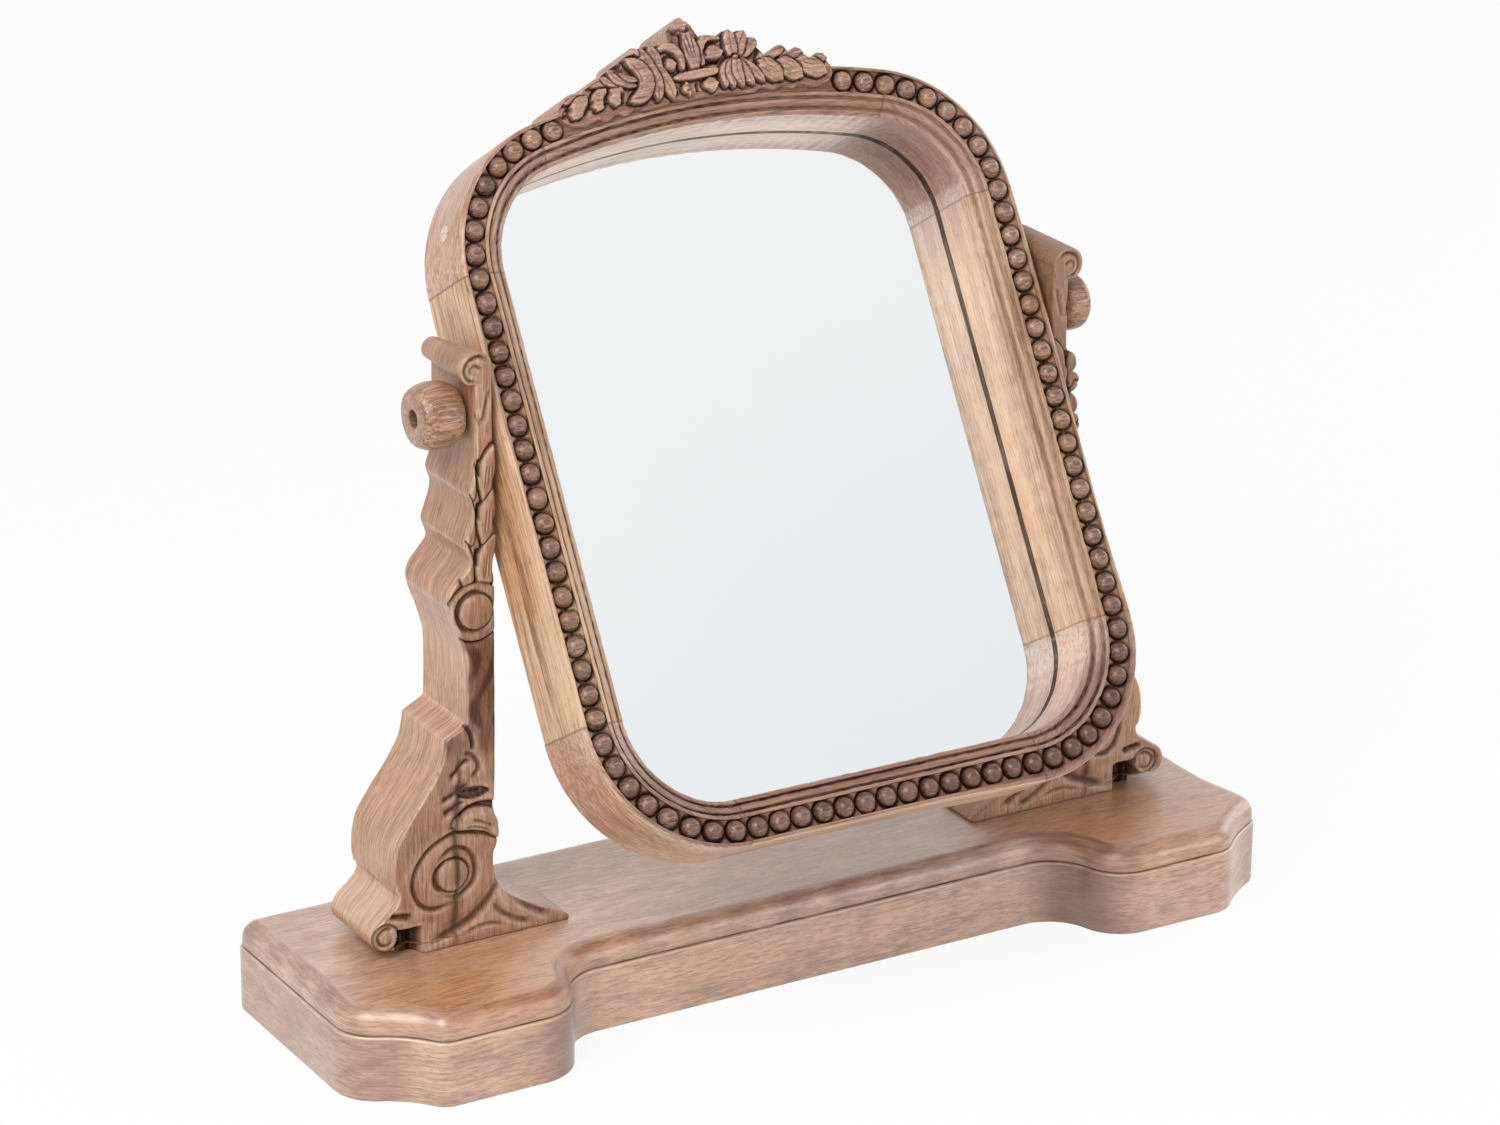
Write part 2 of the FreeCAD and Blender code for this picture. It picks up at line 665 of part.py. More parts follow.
def make_corners():
    """Curved corner blocks: the same section swept about the corner's centre."""
    section = [(-size["corner_radius"] - out, -level) for out, level in frame_section()]
    stile_x = -size["bead_half_width"] - dowel_line
    top = new_body("top_left_corner")
    sketch = sketch_on(top, "top_corner_section", "XY_Plane", x=-corner_centre, z=size["stile_rise"])
    draw(sketch, section)
    revolve(top, sketch, "V_Axis", QUARTER_TURN - rail_angle)
    drill_for_dowel(top, "top_corner_stile_hole", "XY_Plane", stile_x, -dowel_level,
                    z=size["stile_rise"], forward=True)
    drill_for_dowel(top, "top_corner_rail_hole", "YZ_Plane", -dowel_level,
                    size["top_arc_radius"] + dowel_line, level=-arc_drop, turn=-rail_angle)
    plug_hole = sketch_on(top, "plug_hole", "YZ_Plane", z=-frame_side)
    height = size["stile_rise"] + (size["corner_radius"] + size["frame_lip"]) * sine(size["plug_angle"])
    draw_circle(plug_hole, -dowel_level, height, size["plug_diameter"] / 2 + size["glue_gap"])
    cut(top, plug_hole, size["plug_length"], forward=True)
    bottom = new_body("bottom_left_corner")
    sketch = sketch_on(bottom, "bottom_corner_section", "XY_Plane", x=-corner_centre, z=-size["stile_drop"])
    draw(sketch, section)
    revolve(bottom, sketch, "V_Axis", 90, reverse=True)
    drill_for_dowel(bottom, "bottom_corner_stile_hole", "XY_Plane", stile_x, -dowel_level,
                    z=-size["stile_drop"])
    drill_for_dowel(bottom, "bottom_corner_rail_hole", "YZ_Plane", -dowel_level,
                    -bottom_bead - dowel_line, z=-corner_centre)
    for body, name in ((top, "top"), (bottom, "bottom")):
        lean(body)
        keep(body, f"{name}_left_corner")
        mirrored(body, f"{name}_right_corner")


def make_rails():
    """Arched top rail and straight bottom rail, bored for their dowels and screws."""
    top = new_body("top_rail")
    section = sketch_on(top, "top_rail_section", "YZ_Plane", y=-arc_drop)
    draw(section, [(-level, size["top_arc_radius"] + out) for out, level in frame_section()])
    revolve(top, section, "H_Axis", rail_angle * 2, middle=True)
    for name, turn in (("left", -rail_angle), ("right", rail_angle)):
        drill_for_dowel(top, f"top_rail_{name}_hole", "YZ_Plane", -dowel_level,
                        size["top_arc_radius"] + dowel_line, level=-arc_drop, turn=turn,
                        forward=name == "left")
    crest_holes = sketch_on(top, "crest_holes", "XY_Plane", z=rail_top)
    for side in (-1, 1):
        across = size["crest_dowel_offset"] * side - size["crest_shift"]
        draw_circle(crest_holes, across, -dowel_level, dowel_hole)
    cut(top, crest_holes, size["crest_dowel_length"] / 2 + size["dowel_end_gap"])
    drill_for_panel(top, "top_rail")
    bottom = new_body("bottom_rail")
    section = sketch_on(bottom, "bottom_rail_section", "YZ_Plane")
    draw(section, [(-level, -bottom_bead - out) for out, level in frame_section()])
    pad(bottom, section, corner_centre * 2, middle=True)
    for name, x in (("left", -corner_centre), ("right", corner_centre)):
        drill_for_dowel(bottom, f"bottom_rail_{name}_hole", "YZ_Plane", -dowel_level,
                        -bottom_bead - dowel_line, z=x, forward=name == "left")
    drill_for_panel(bottom, "bottom_rail")
    for body, name in ((top, "top_rail"), (bottom, "bottom_rail")):
        lean(body)
        keep(body, name)


def dowel(name, length):
    body = new_body(name)
    sketch = sketch_on(body, name + "_section", "XY_Plane")
    draw_circle(sketch, 0, 0, size["dowel_diameter"] / 2)
    pad(body, sketch, length, middle=True)
    return body


def make_dowels():
    """Dowels across the frame's joints and under the crest."""
    pattern = dowel("frame_dowel", size["dowel_length"])
    across = Vector(0, 1, 0)
    arc = size["top_arc_radius"] + dowel_line
    copies = []
    for name, side in (("left", -1), ("right", 1)):
        x = (size["bead_half_width"] + dowel_line) * side
        copies.append(copy_of(pattern, f"dowel_{name}_a", x, -dowel_level, size["stile_rise"]))
        copies.append(copy_of(pattern, f"dowel_{name}_b", x, -dowel_level, -size["stile_drop"]))
        copies.append(copy_of(pattern, f"dowel_{name}_c", corner_centre * side, -dowel_level,
                              -bottom_bead - dowel_line, across, QUARTER_TURN))
        copies.append(copy_of(pattern, f"dowel_{name}_d", arc * sine(rail_angle) * side, -dowel_level,
                              arc * cosine(rail_angle) - arc_drop, across, QUARTER_TURN + rail_angle * side))
    lean(group("corner_dowels", copies))
    pattern = dowel("crest_dowel", size["crest_dowel_length"])
    copies = []
    for name, side in (("left", -1), ("right", 1)):
        x = size["crest_dowel_offset"] * side - size["crest_shift"]
        copies.append(copy_of(pattern, f"crest_dowel_{name}", x, -dowel_level, rail_top))
    lean(group("crest_dowels", copies))


def make_plugs():
    """Wood plugs in the outer walls of the top corners, their ends shaped to the corner's round."""
    radius = (size["corner_radius"] + size["frame_lip"]).value
    height = radius * math.sin(math.radians(size["plug_angle"].value))
    wall = Vector(-(corner_centre.value + radius), -dowel_level.value, size["stile_rise"].value + height)
    bar = Part.makeCylinder(size["plug_diameter"].value / 2, size["plug_length"].value, wall, Vector(1, 0, 0))
    depth = size["rim_level"].value - frame_back.value
    centre = Vector(-corner_centre.value, -size["rim_level"].value, size["stile_rise"].value)
    left = bar.common(Part.makeCylinder(radius, depth, centre, Vector(0, 1, 0)))
    plugs = doc.addObject("Part::Feature", "corner_plugs")
    plugs.Shape = Part.makeCompound([left, left.mirror(Vector(0, 0, 0), Vector(1, 0, 0))])
    lean(plugs)
    keep(plugs, "corner_plugs")


def loop_steps(out):
    """A closed outline that follows the bead row at a distance outwards."""
    side = size["bead_half_width"] + out
    corner = size["corner_radius"] + out
    arc = size["top_arc_radius"] + out
    tangent = (arc * sine(rail_angle), arc * cosine(rail_angle) - arc_drop)
    return [
        (side, size["stile_rise"]), (tangent[0], tangent[1], corner, 1), (-tangent[0], tangent[1], arc, 1),
        (-side, size["stile_rise"], corner, 1), (-side, -size["stile_drop"]),
        (-corner_centre, -size["stile_drop"] - corner, corner, 1),
        (corner_centre, -size["stile_drop"] - corner), (side, -size["stile_drop"], corner, 1),
    ]


def make_panes():
    """Mirror glass in its rebate, and the back panel screwed on behind it."""
    glass = new_body("mirror_glass")
    sketch = sketch_on(glass, "glass_outline", "XZ_Plane", z=glass_seat)
    draw(sketch, loop_steps(glass_wall - size["pane_clearance"]))
    pad(glass, sketch, size["glass_thickness"], reverse=True)
    panel = new_body("back_panel")
    sketch = sketch_on(panel, "panel_outline", "XZ_Plane", z=panel_seat)
    draw(sketch, loop_steps(panel_wall - size["pane_clearance"]))
    pad(panel, sketch, size["panel_thickness"], reverse=True)
    holes = sketch_on(panel, "panel_holes", "XZ_Plane", z=panel_back)
    sockets = sketch_on(panel, "panel_sockets", "XZ_Plane", z=panel_back)
    pattern = screw("panel_screw", size["panel_screw_diameter"], size["panel_screw_head"],
                    size["panel_screw_head_height"], size["panel_screw_length"])
    copies = []
    for member, places in panel_screw_places().items():
        for index, (u, v) in enumerate(places):
            draw_circle(holes, u, v, size["panel_screw_diameter"] / 2 + size["glue_gap"])
            draw_circle(sockets, u, v, size["panel_screw_head"] / 2 + size["glue_gap"])
            copies.append(copy_of(pattern, f"panel_screw_{member}_{index}", u, -panel_back, v,
                                  Vector(1, 0, 0), QUARTER_TURN))
    cut(panel, holes, size["panel_thickness"], forward=True)
    cut(panel, sockets, size["panel_screw_head_height"], forward=True)
    for body, name in ((glass, "mirror_glass"), (panel, "back_panel")):
        lean(body)
        keep(body, name)
    lean(group("back_panel_screws", copies))


def bead_place(distance):
    """A place on the bead row, measured from the bottom middle up one side: outwards and up."""
    centre = corner_centre.value
    radius = size["corner_radius"].value
    straight = size["stile_rise"].value + size["stile_drop"].value
    top_turn = math.radians(90 - rail_angle.value)
    if distance < centre:
        return distance, -bottom_bead.value
    distance -= centre
    if distance < radius * math.pi / 2:
        angle = distance / radius
        return centre + radius * math.sin(angle), -size["stile_drop"].value - radius * math.cos(angle)
    distance -= radius * math.pi / 2
    if distance < straight:
        return size["bead_half_width"].value, distance - size["stile_drop"].value
    distance -= straight
    if distance < radius * top_turn:
        angle = distance / radius
        return centre + radius * math.cos(angle), size["stile_rise"].value + radius * math.sin(angle)
    angle = math.radians(rail_angle.value) - (distance - radius * top_turn) / size["top_arc_radius"].value
    arc = size["top_arc_radius"].value
    return arc * math.sin(angle), arc * math.cos(angle) - arc_drop.value


def make_beading():
    """Half-round pearl beads on the channel floor, from one end of the crest round to the other."""
    radius = size["bead_diameter"].value / 2
    floor = channel_floor.value
    crest_angle = math.asin(crest_half.value / size["top_arc_radius"].value)
    corners = size["corner_radius"].value * math.radians(180 - rail_angle.value)
    straights = corner_centre.value + size["stile_rise"].value + size["stile_drop"].value
    shift = math.radians(crest_turn.value)
    left_row, right_row = [
        corners + straights + size["top_arc_radius"].value * (math.radians(rail_angle.value) - end)
        for end in (crest_angle + shift, crest_angle - shift)
    ]
    row = left_row + right_row
    count = round(row / size["bead_pitch"].value)
    lift = floor + size["bead_lift"].value
    ball = Part.makeSphere(radius, Vector(0, -lift, 0))
    under = Part.makeBox(radius * 4, radius * 4, radius * 4, Vector(-radius * 2, -floor, -radius * 2))
    bead = ball.cut(under)
    beads = []
    for index in range(count):
        distance = (index + 0.5) * row / count - left_row
        u, v = bead_place(abs(distance))
        one = bead.copy()
        one.translate(Vector(math.copysign(u, distance), 0, v))
        beads.append(one)
    beading = doc.addObject("Part::Feature", "pearl_beading")
    beading.Shape = Part.makeCompound(beads)
    lean(beading)
    keep(beading, "pearl_beading")


def crest_outline(front):
    """The crest's upper outline from its left end over the peak to its right end, as edges."""
    half = crest_half.value
    rise = size["crest_rise"].value
    foot_radius = (size["top_arc_radius"] + size["frame_lip"] + size["glue_gap"]).value
    end = Vector(half, -front, math.sqrt(foot_radius ** 2 - half ** 2) - arc_drop.value)

    def at(shares, side):
        return Vector(shares[0] * half * side, -front, rail_top.value + shares[1] * rise)

    peak = Vector(0, -front, rail_top.value + rise)
    edges = [Part.Arc(at(CREST_PEAK_SHARES, -1), peak, at(CREST_PEAK_SHARES, 1)).toShape()]
    for side in (-1, 1):
        here = at(CREST_PEAK_SHARES, side)
        for row in CREST_SHARES:
            there = at(row[-1], side)
            if len(row) > 1:
                edges.append(Part.Arc(here, at(row[0], side), there).toShape())
            else:
                edges.append(Part.LineSegment(here, there).toShape())
            here = there
        edges.append(Part.LineSegment(here, Vector(end.x * side, end.y, end.z)).toShape())
    foot = Vector(0, -front, foot_radius - arc_drop.value)
    edges.append(Part.Arc(Vector(-end.x, end.y, end.z), foot, end).toShape())
    return edges


def crest_apron(front):
    """The part of the crest that covers the bead channel of the top rail, as edges."""
    centre = Vector(0, -front, -arc_drop.value)
    turn = math.asin(crest_half.value / size["top_arc_radius"].value)
    radii = ((size["top_arc_radius"] - channel_half).value,
             (size["top_arc_radius"] + size["frame_lip"] + size["crest_relief"] / 2).value)
    ends = [[centre + Vector(math.sin(angle), 0, math.cos(angle)) * radius for angle in (-turn, 0, turn)]
            for radius in radii]
    return [
        Part.Arc(*ends[0]).toShape(), Part.LineSegment(ends[0][2], ends[1][2]).toShape(),
        Part.Arc(*ends[1]).toShape(), Part.LineSegment(ends[1][0], ends[0][0]).toShape(),
    ]


def make_crest():
    """Carved crest: a thick block on the arch, with a shallower apron over the bead channel."""
    front = (size["rim_level"] + size["crest_relief"]).value
    block = slab(crest_outline(front), size["crest_depth"].value)
    crest = block.fuse(slab(crest_apron(front), size["crest_relief"].value)).removeSplitter()
    crest.rotate(Vector(0, 0, -arc_drop.value), Vector(0, 1, 0), -crest_turn.value)
    for side in (-1, 1):
        across = size["crest_dowel_offset"] * side - size["crest_shift"]
        foot = Vector(across.value, -dowel_level.value, rail_top.value)
        depth = (size["crest_dowel_length"] / 2 + size["dowel_end_gap"]).value
        start = foot - Vector(0, 0, size["overrun"].value)
        crest = crest.cut(Part.makeCylinder(dowel_hole.value, depth + size["overrun"].value, start))
    piece = doc.addObject("Part::Feature", "crest")
    piece.Shape = crest
    lean(piece)
    keep(piece, "crest")


def make_pivots():
    """Clamp knobs with their bolts, washers and threaded inserts, on the pivot line."""
    y = size["pivot_setback"]
    bore = size["bolt_diameter"] / 2 + size["glue_gap"]
    ball = size["knob_diameter"] / 2
    half = size["knob_length"] / 2
    flat = root(ball * ball - half * half)
    socket = size["knob_socket_diameter"] / 2
    seat = size["knob_length"] - size["knob_socket_depth"]
    knob_inner = neck_outer + size["washer_thickness"]
    knob = turned("right_knob", "XY_Plane", "H_Axis", [
        (0, bore), (seat, bore), (seat, socket), (size["knob_length"], socket), (size["knob_length"], flat),
        (0, flat, ball, 1),
    ])
    shank = size["bolt_diameter"] / 2
    head = size["bolt_head_diameter"] / 2
    tip = frame_side - size["bolt_reach"] - knob_inner
    bolt = turned("right_pivot_bolt", "XY_Plane", "H_Axis", [
        (tip, 0), (seat + size["bolt_head_height"], 0), (seat + size["bolt_head_height"], head), (seat, head),
        (seat, shank), (tip, shank),
    ])
    insert = ring("right_insert", size["insert_diameter"] / 2, bolt_bore, size["insert_length"])
    friction = ring("right_friction_washer", size["friction_diameter"] / 2, bolt_bore, size["frame_gap"])
    washer = ring("right_knob_washer", size["washer_diameter"] / 2, bolt_bore, size["washer_thickness"])
    for body, x in ((knob, knob_inner), (bolt, knob_inner), (insert, frame_side - size["insert_length"]),
                    (friction, frame_side), (washer, neck_outer)):
        place(body, x, y, pivot_height)
        keep(body, body.Name)
        mirrored(body, body.Name.replace("right", "left"))


def finish():
    """Recompute, look for failed objects and shapes, and write each piece to its file."""
    doc.recompute()
    for thing in doc.Objects:
        if "Invalid" in thing.State or "Error" in thing.State:
            raise RuntimeError(f"{thing.Name} failed: {thing.State}")
    for piece in pieces:
        if piece.Shape.isNull() or not piece.Shape.isValid() or not piece.Shape.Solids:
            raise RuntimeError(f"{piece.Label} has no valid solid")
    os.makedirs("parts", exist_ok=True)
    for piece in pieces:
        piece.Shape.exportStep(f"parts/{piece.Label}.step")
        box = piece.Shape.BoundBox
        print(f"{piece.Label}: {len(piece.Shape.Solids)} solids, {piece.Shape.Volume:.0f} mm3, "
              f"{box.XLength:.1f} x {box.YLength:.1f} x {box.ZLength:.1f}")


make_base()
make_posts()
make_post_screws()
make_stiles()
make_corners()
make_rails()
make_dowels()
make_plugs()
make_panes()
make_beading()
make_crest()
make_pivots()
finish()
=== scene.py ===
"""Looks of the table mirror: its carved, moulded and turned wood, the finishes, the light and the camera.

Lengths in this script are millimetres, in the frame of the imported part, and meshes are made in metres.
"""

import json
import math

import bmesh
import bpy
import numpy as np
from mathutils import Matrix


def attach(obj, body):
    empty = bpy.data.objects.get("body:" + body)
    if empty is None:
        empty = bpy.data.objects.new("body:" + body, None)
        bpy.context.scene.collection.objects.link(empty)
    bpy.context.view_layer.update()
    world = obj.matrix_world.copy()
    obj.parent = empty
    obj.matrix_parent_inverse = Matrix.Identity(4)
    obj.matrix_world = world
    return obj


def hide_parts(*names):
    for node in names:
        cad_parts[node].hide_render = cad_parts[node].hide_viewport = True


MM = 0.001
SIDES = {"left": -1, "right": 1}

# Base board.
BASE_END = 302
BASE_FRONT = -88.75
BASE_BACK = 88.75
BASE_SIDE = 39
BASE_TOP = 54
RECESS_DEPTH = 43
OGEE_RUN = 56
BACK_ROUND = 12
MOULD_QUIRK = 1.2
MOULD_RUN = 11.5
SEAM = 0.3
# Hand-cut front corners: end, recess half width, front round, hollow and end round, and the two headings.
BASE_SIDES = {
    "left": {"end": 302, "recess": 139, "rounds": (14, 60, 27), "headings": (55, 25)},
    "right": {"end": 308, "recess": 150, "rounds": (20, 111, 13), "headings": (45, 27)},
}
# Where the right end's extra length fades out, from front to back.
FLARE_FADE = (-52, -10)
# Section of the base up to its moulding: inset, height, stain and wear.
BASE_SECTION = [
    (1.0, 0, 0.5, 0), (0.2, 0.7, 0.2, 0.2), (0, 2, 0, 0), (0, 20, 0, 0), (0, 37.4, 0, 0), (0.1, 38.2, 0, 0.9),
    (0.7, 38.8, 0, 0.8), (1.8, 39.2, 0.8, 0), (1.8, 39.6, 0.8, 0), (1.3, 40, 0.3, 0),
    (MOULD_QUIRK, 41, 0.1, 0),
]

# Mirror frame: the bead row is the line that its section follows.
PIVOT_Y = 13.75
PIVOT_Z = 363
TILT = math.radians(31.27)
BEAD_HALF_WIDTH = 169
CORNER_RADIUS = 73
STILE_RISE = 69
STILE_DROP = 186
ARCH_RADIUS = 500
CORNER_CENTRE = BEAD_HALF_WIDTH - CORNER_RADIUS
ARCH_REACH = ARCH_RADIUS - CORNER_RADIUS
ARCH_DROP = math.sqrt(ARCH_REACH ** 2 - CORNER_CENTRE ** 2) - STILE_RISE
ARCH_ANGLE = math.asin(CORNER_CENTRE / ARCH_REACH)
LIP = 9
RIM_LEVEL = 19.5
CHANNEL_HALF = 6.4
CHANNEL_FLOOR = 15.5
GLASS_SEAT = -23.5
BEAD_RADIUS = 5.9
BEAD_PITCH = 13.8
BEAD_LIFT = 1.2
# Section of the frame on each side of the bead channel's floor: out from the bead row, level, stain and wear.
OUTER_SECTION = [
    (LIP - 1, -32.5, 0, 0), (LIP, -31.5, 0, 0.2), (LIP, -15, 0, 0), (LIP, 5, 0, 0), (LIP, 16.8, 0, 0),
    (LIP - 0.3, 18.2, 0, 0.1), (LIP - 1.0, 19.1, 0, 0.2), (LIP - 1.8, RIM_LEVEL, 0, 0.2),
    (CHANNEL_HALF + 0.25, RIM_LEVEL, 0.1, 0.2), (CHANNEL_HALF, 18.9, 0.8, 0),
]
INNER_SECTION = [
    (-CHANNEL_HALF - 0.05, 17.8, 0.9, 0), (-CHANNEL_HALF - 0.3, 18.6, 0.1, 0.3), (-8.4, 18.7, 0, 0.4),
    (-8.9, 18.2, 0.6, 0.1), (-9.2, 16.9, 1, 0), (-10.1, 16.4, 1, 0), (-10.7, 16.6, 0.2, 0.3),
    (-12, 16.2, 0, 0.2),
    (-13.4, 15.3, 0.1, 0.1), (-14, 14.4, 0.7, 0), (-14.4, 13, 1, 0), (-15.2, 12.6, 0.9, 0),
    (-15.8, 12.8, 0.1, 0.3),
    (-16.8, 12.4, 0, 0.3), (-17.6, 11.6, 0, 0.5), (-18, 10.4, 0, 0.2), (-18, 9, 0, 0), (-18, -8, 0, 0),
    # The wall by the glass from here, the rebate seat and the rebate behind it are stained dark: painted
    # shade in the slot between frame and glass.
    (-18, -20.7, 0, 0), (-18, -21.0, 0.94, 0), (-18, GLASS_SEAT, 0.94, 0), (-11, GLASS_SEAT, 1, 0),
    (-11, -27.5, 1, 0), (-3, -27.5, 0.5, 0), (-3, -32.5, 0, 0),
]

# Crest, in its own frame, which is turned a little to the left about the arch's centre.
CREST_HALF = 88
CREST_SHIFT = 8
CREST_TURN = math.asin(CREST_SHIFT / (ARCH_RADIUS + LIP))
CREST_FRONT = 23.3
CREST_BACK = -19.5
CREST_SEAT = RIM_LEVEL - 1.2
# The crest's upper edge right and left of its peak, and its lower edge: place across and level.
CREST_PEAK = [
    (0, 194.9), (2.5, 194.4), (5, 192.9), (7, 190.4), (8, 187.4), (8.2, 183.6), (10, 182.7), (14.5, 182.1),
]
CREST_RIGHT = [
    *CREST_PEAK, (18, 181.0), (20.4, 180.3), (23, 182.4), (26, 183.6), (28.4, 183.4), (30.2, 181.8),
    (30.8, 180.5),
    (33, 182.0), (35.5, 182.6), (37.4, 181.8), (38.4, 177.2), (41, 177.2), (43, 175.8), (44.1, 173.6),
    (44.6, 169.5), (45.2, 164.6), (48, 165.4), (51.9, 167.2), (55, 169.4), (58, 169.8), (60.4, 168.4),
    (61.8, 165.0), (64, 165.6), (67, 167.0), (70, 165.8), (72.4, 162.4), (73.5, 160.0), (76.8, 160.0),
    (80, 161.6), (83.5, 160.9), (86.2, 158.0), (CREST_HALF, 154.6),
]
CREST_LEFT = [
    *CREST_PEAK, (18, 181.6), (24, 182.6), (30, 182), (33, 181.8), (35.6, 182.8), (37.6, 181), (39, 179),
    (45, 176.6), (52, 174), (56.8, 171.6), (58.2, 168.6), (60, 169.4), (62, 170), (66, 168.5), (68, 166.3),
    (71, 163.8), (75, 163), (80, 163.6), (83.6, 162.4), (86, 160.6), (87.4, 158), (CREST_HALF, 154.6),
]
CREST_LOWER = [
    (0, 148.6), (8, 148.8), (14, 150.2), (18, 149.4), (23, 148.6), (29, 148.0), (36, 147.6), (41, 149.4),
    (48, 146.8), (54, 148.2), (60, 145.8), (66, 147.2), (74, 144.8), (82, 145.6), (86, 147.5),
    (CREST_HALF, 150),
]

# Posts.
POST_INNER = 182.5
POST_FRONT = -7.25
POST_BACK = 45.75
POST_TOP = 402.8
TOE_BACK = 25.75
SCROLL = (192.5, 393, 10)
FOOT_SCROLL = (252.3, 68, 8.3)
RIGHT_SPREAD = 9
# Outer side of a post by height, from the neck down: each run ends on a crisp ridge.
POST_RUNS = [
    [(346, 192.8), (340, 193.2), (333.3, 194.1), (327, 196.2), (322.9, 197.4), (319.6, 196.8)],
    [(319.5, 196.8), (316, 195.5), (312.5, 194.9), (306, 196.2), (299, 198.8), (293.5, 200.6),
     (290.4, 200.4)],
    [(290.3, 200.4), (285.5, 198.5), (281, 198), (276, 201.6), (269, 208), (265, 209.9), (261, 210.8),
     (257, 210.4)],
    [(256.9, 210.4), (250, 208.2), (243.8, 205.6), (234, 202.6), (225.7, 200.6), (212, 200.2), (195, 200.4),
     (187, 200.6)],
    [(186.9, 200.6), (184.6, 203.4), (182, 208.6), (179.4, 213.8)],
    [(179.3, 213.8), (172, 215), (163, 217.6), (150, 225.6), (137.5, 235), (124.6, 243.5), (113, 246.8),
     (102, 247.2), (95, 246.2)],
    [(94.9, 246.2), (92.6, 244.4), (90, 244.2)],
    [(89.9, 244.2), (86, 246.2), (82, 250.2), (77, 256), (73.5, 259)],
]
POST_RIDGES = [run[0][0] for run in POST_RUNS[1:]]
NECK_END, NECK_OUTER = POST_RUNS[0][0]
FOOT_END = POST_RUNS[-1][-1][0]
# Inner side of a post by height, down to the end of its toe.
POST_INNER_LINE = [
    (345, 182.8), (335, 182.0), (326, 184), (312, 182.3), (304, 184), (293, 182.3), (280, 184), (268, 182.6),
    (240, 182.6), (190, 182.6), (140, 183.4), (131, 184.2), (125, 182.3), (112, 182), (106, 184), (96, 184),
    (88, 181.5), (80, 177), (73, 168), (66, 154), (60, 142), (56.5, 136.6), (54, 136.4),
]

# Knobs: length, radius, and how far and how steeply the barrel falls to its ends.
KNOBS = {"left": (27, 19, 0.18, 2.4), "right": (22.6, 16.8, 0.42, 3.2)}
KNOB_INNER = 193.5
KNOB_NECK = 2.6
KNOB_HOLE = 4.8
KNOB_SEAT = 12
BOLT_HOLE = 3.2

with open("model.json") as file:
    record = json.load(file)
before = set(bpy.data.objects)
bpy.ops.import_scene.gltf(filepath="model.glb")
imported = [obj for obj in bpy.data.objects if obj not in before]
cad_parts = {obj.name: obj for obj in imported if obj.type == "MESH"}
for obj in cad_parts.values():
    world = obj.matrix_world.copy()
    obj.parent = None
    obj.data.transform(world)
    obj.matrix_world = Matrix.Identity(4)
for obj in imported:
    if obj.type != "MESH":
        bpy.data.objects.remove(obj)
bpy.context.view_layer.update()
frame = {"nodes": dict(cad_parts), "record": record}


def smoothstep(low, high, value):
    """Smooth ramp from 0 at low to 1 at high."""
    share = np.clip((value - low) / (high - low), 0, 1)
    return share * share * (3 - 2 * share)


def band(low, high, fall, end, value):
    """Smooth ramp from 0 at low to 1 at high, and from 1 at fall to 0 at end."""
    return smoothstep(low, high, value) * smoothstep(end, fall, value)


def bell(distance, width):
    """Smooth bump: 1 in the middle, nearly 0 at twice the width."""
    return np.exp(-(distance / width) ** 2)


def wander(place, seed, waves=4):
    """A smooth irregular line along a place, about -1 to 1, the same on each run."""
    rates = (0.02, 0.22)
    rng = np.random.default_rng(seed)
    total = np.zeros_like(np.asarray(place, float))
    for wave in range(waves):
        rate = rng.uniform(*rates)
        phase = rng.uniform(0, 2 * math.pi)
        total += math.sin(1 + wave) ** 2 * np.sin(place * rate + phase)
    return total / waves


def smooth_line(points, steps=12):
    """Points on a smooth curve through the given ones."""
    known = np.array(points, float)
    padded = np.vstack([2 * known[0] - known[1], known, 2 * known[-1] - known[-2]])
    share = np.linspace(0, 1, steps, endpoint=False)[:, None]
    runs = []
    for a, b, c, d in zip(padded, padded[1:], padded[2:], padded[3:]):
        runs.append(0.5 * (2 * b + (c - a) * share + (2 * a - 5 * b + 4 * c - d) * share ** 2
                           + (3 * b - a - 3 * c + d) * share ** 3))
    return np.vstack(runs + [known[-1:]])


def way_along(line_x, line_y):
    """Distance of each point of a line from its start, measured along it."""
    return np.concatenate([[0], np.cumsum(np.hypot(np.diff(line_x), np.diff(line_y)))])


def distance_to(x, y, points):
    """Distance of each place from a polyline, its share of the way along it, and the side that it lies on."""
    ends = way_along(*points.T)
    nearest = np.full(x.shape, np.inf)
    along = np.zeros(x.shape)
    side = np.zeros(x.shape)
    for start, end, (ax, ay), (bx, by) in zip(ends, ends[1:], points, points[1:]):
        dx, dy = bx - ax, by - ay
        share = np.clip(((x - ax) * dx + (y - ay) * dy) / (end - start) ** 2, 0, 1)
        away = np.hypot(x - ax - share * dx, y - ay - share * dy)
        closer = away < nearest
        nearest = np.where(closer, away, nearest)
        along = np.where(closer, (start + share * (end - start)) / ends[-1], along)
        side = np.where(closer, np.sign((x - ax) * dy - (y - ay) * dx), side)
    return nearest, along, side


def blurred(values, reach):
    """Values on a grid, each averaged with its neighbours."""
    share = np.full(2 * reach + 1, 1 / (2 * reach + 1))

    def blurred_row(row):
        return np.convolve(np.pad(row, reach, "edge"), share, "valid")

    for axis in (0, 1):
        values = np.apply_along_axis(blurred_row, axis, values)
    return values


def arris_drop(distance, radius):
    """How far a rounded edge drops, by the distance from the edge."""
    edge = np.clip(radius - distance, 0, radius)
    return radius - np.sqrt(radius ** 2 - edge ** 2)


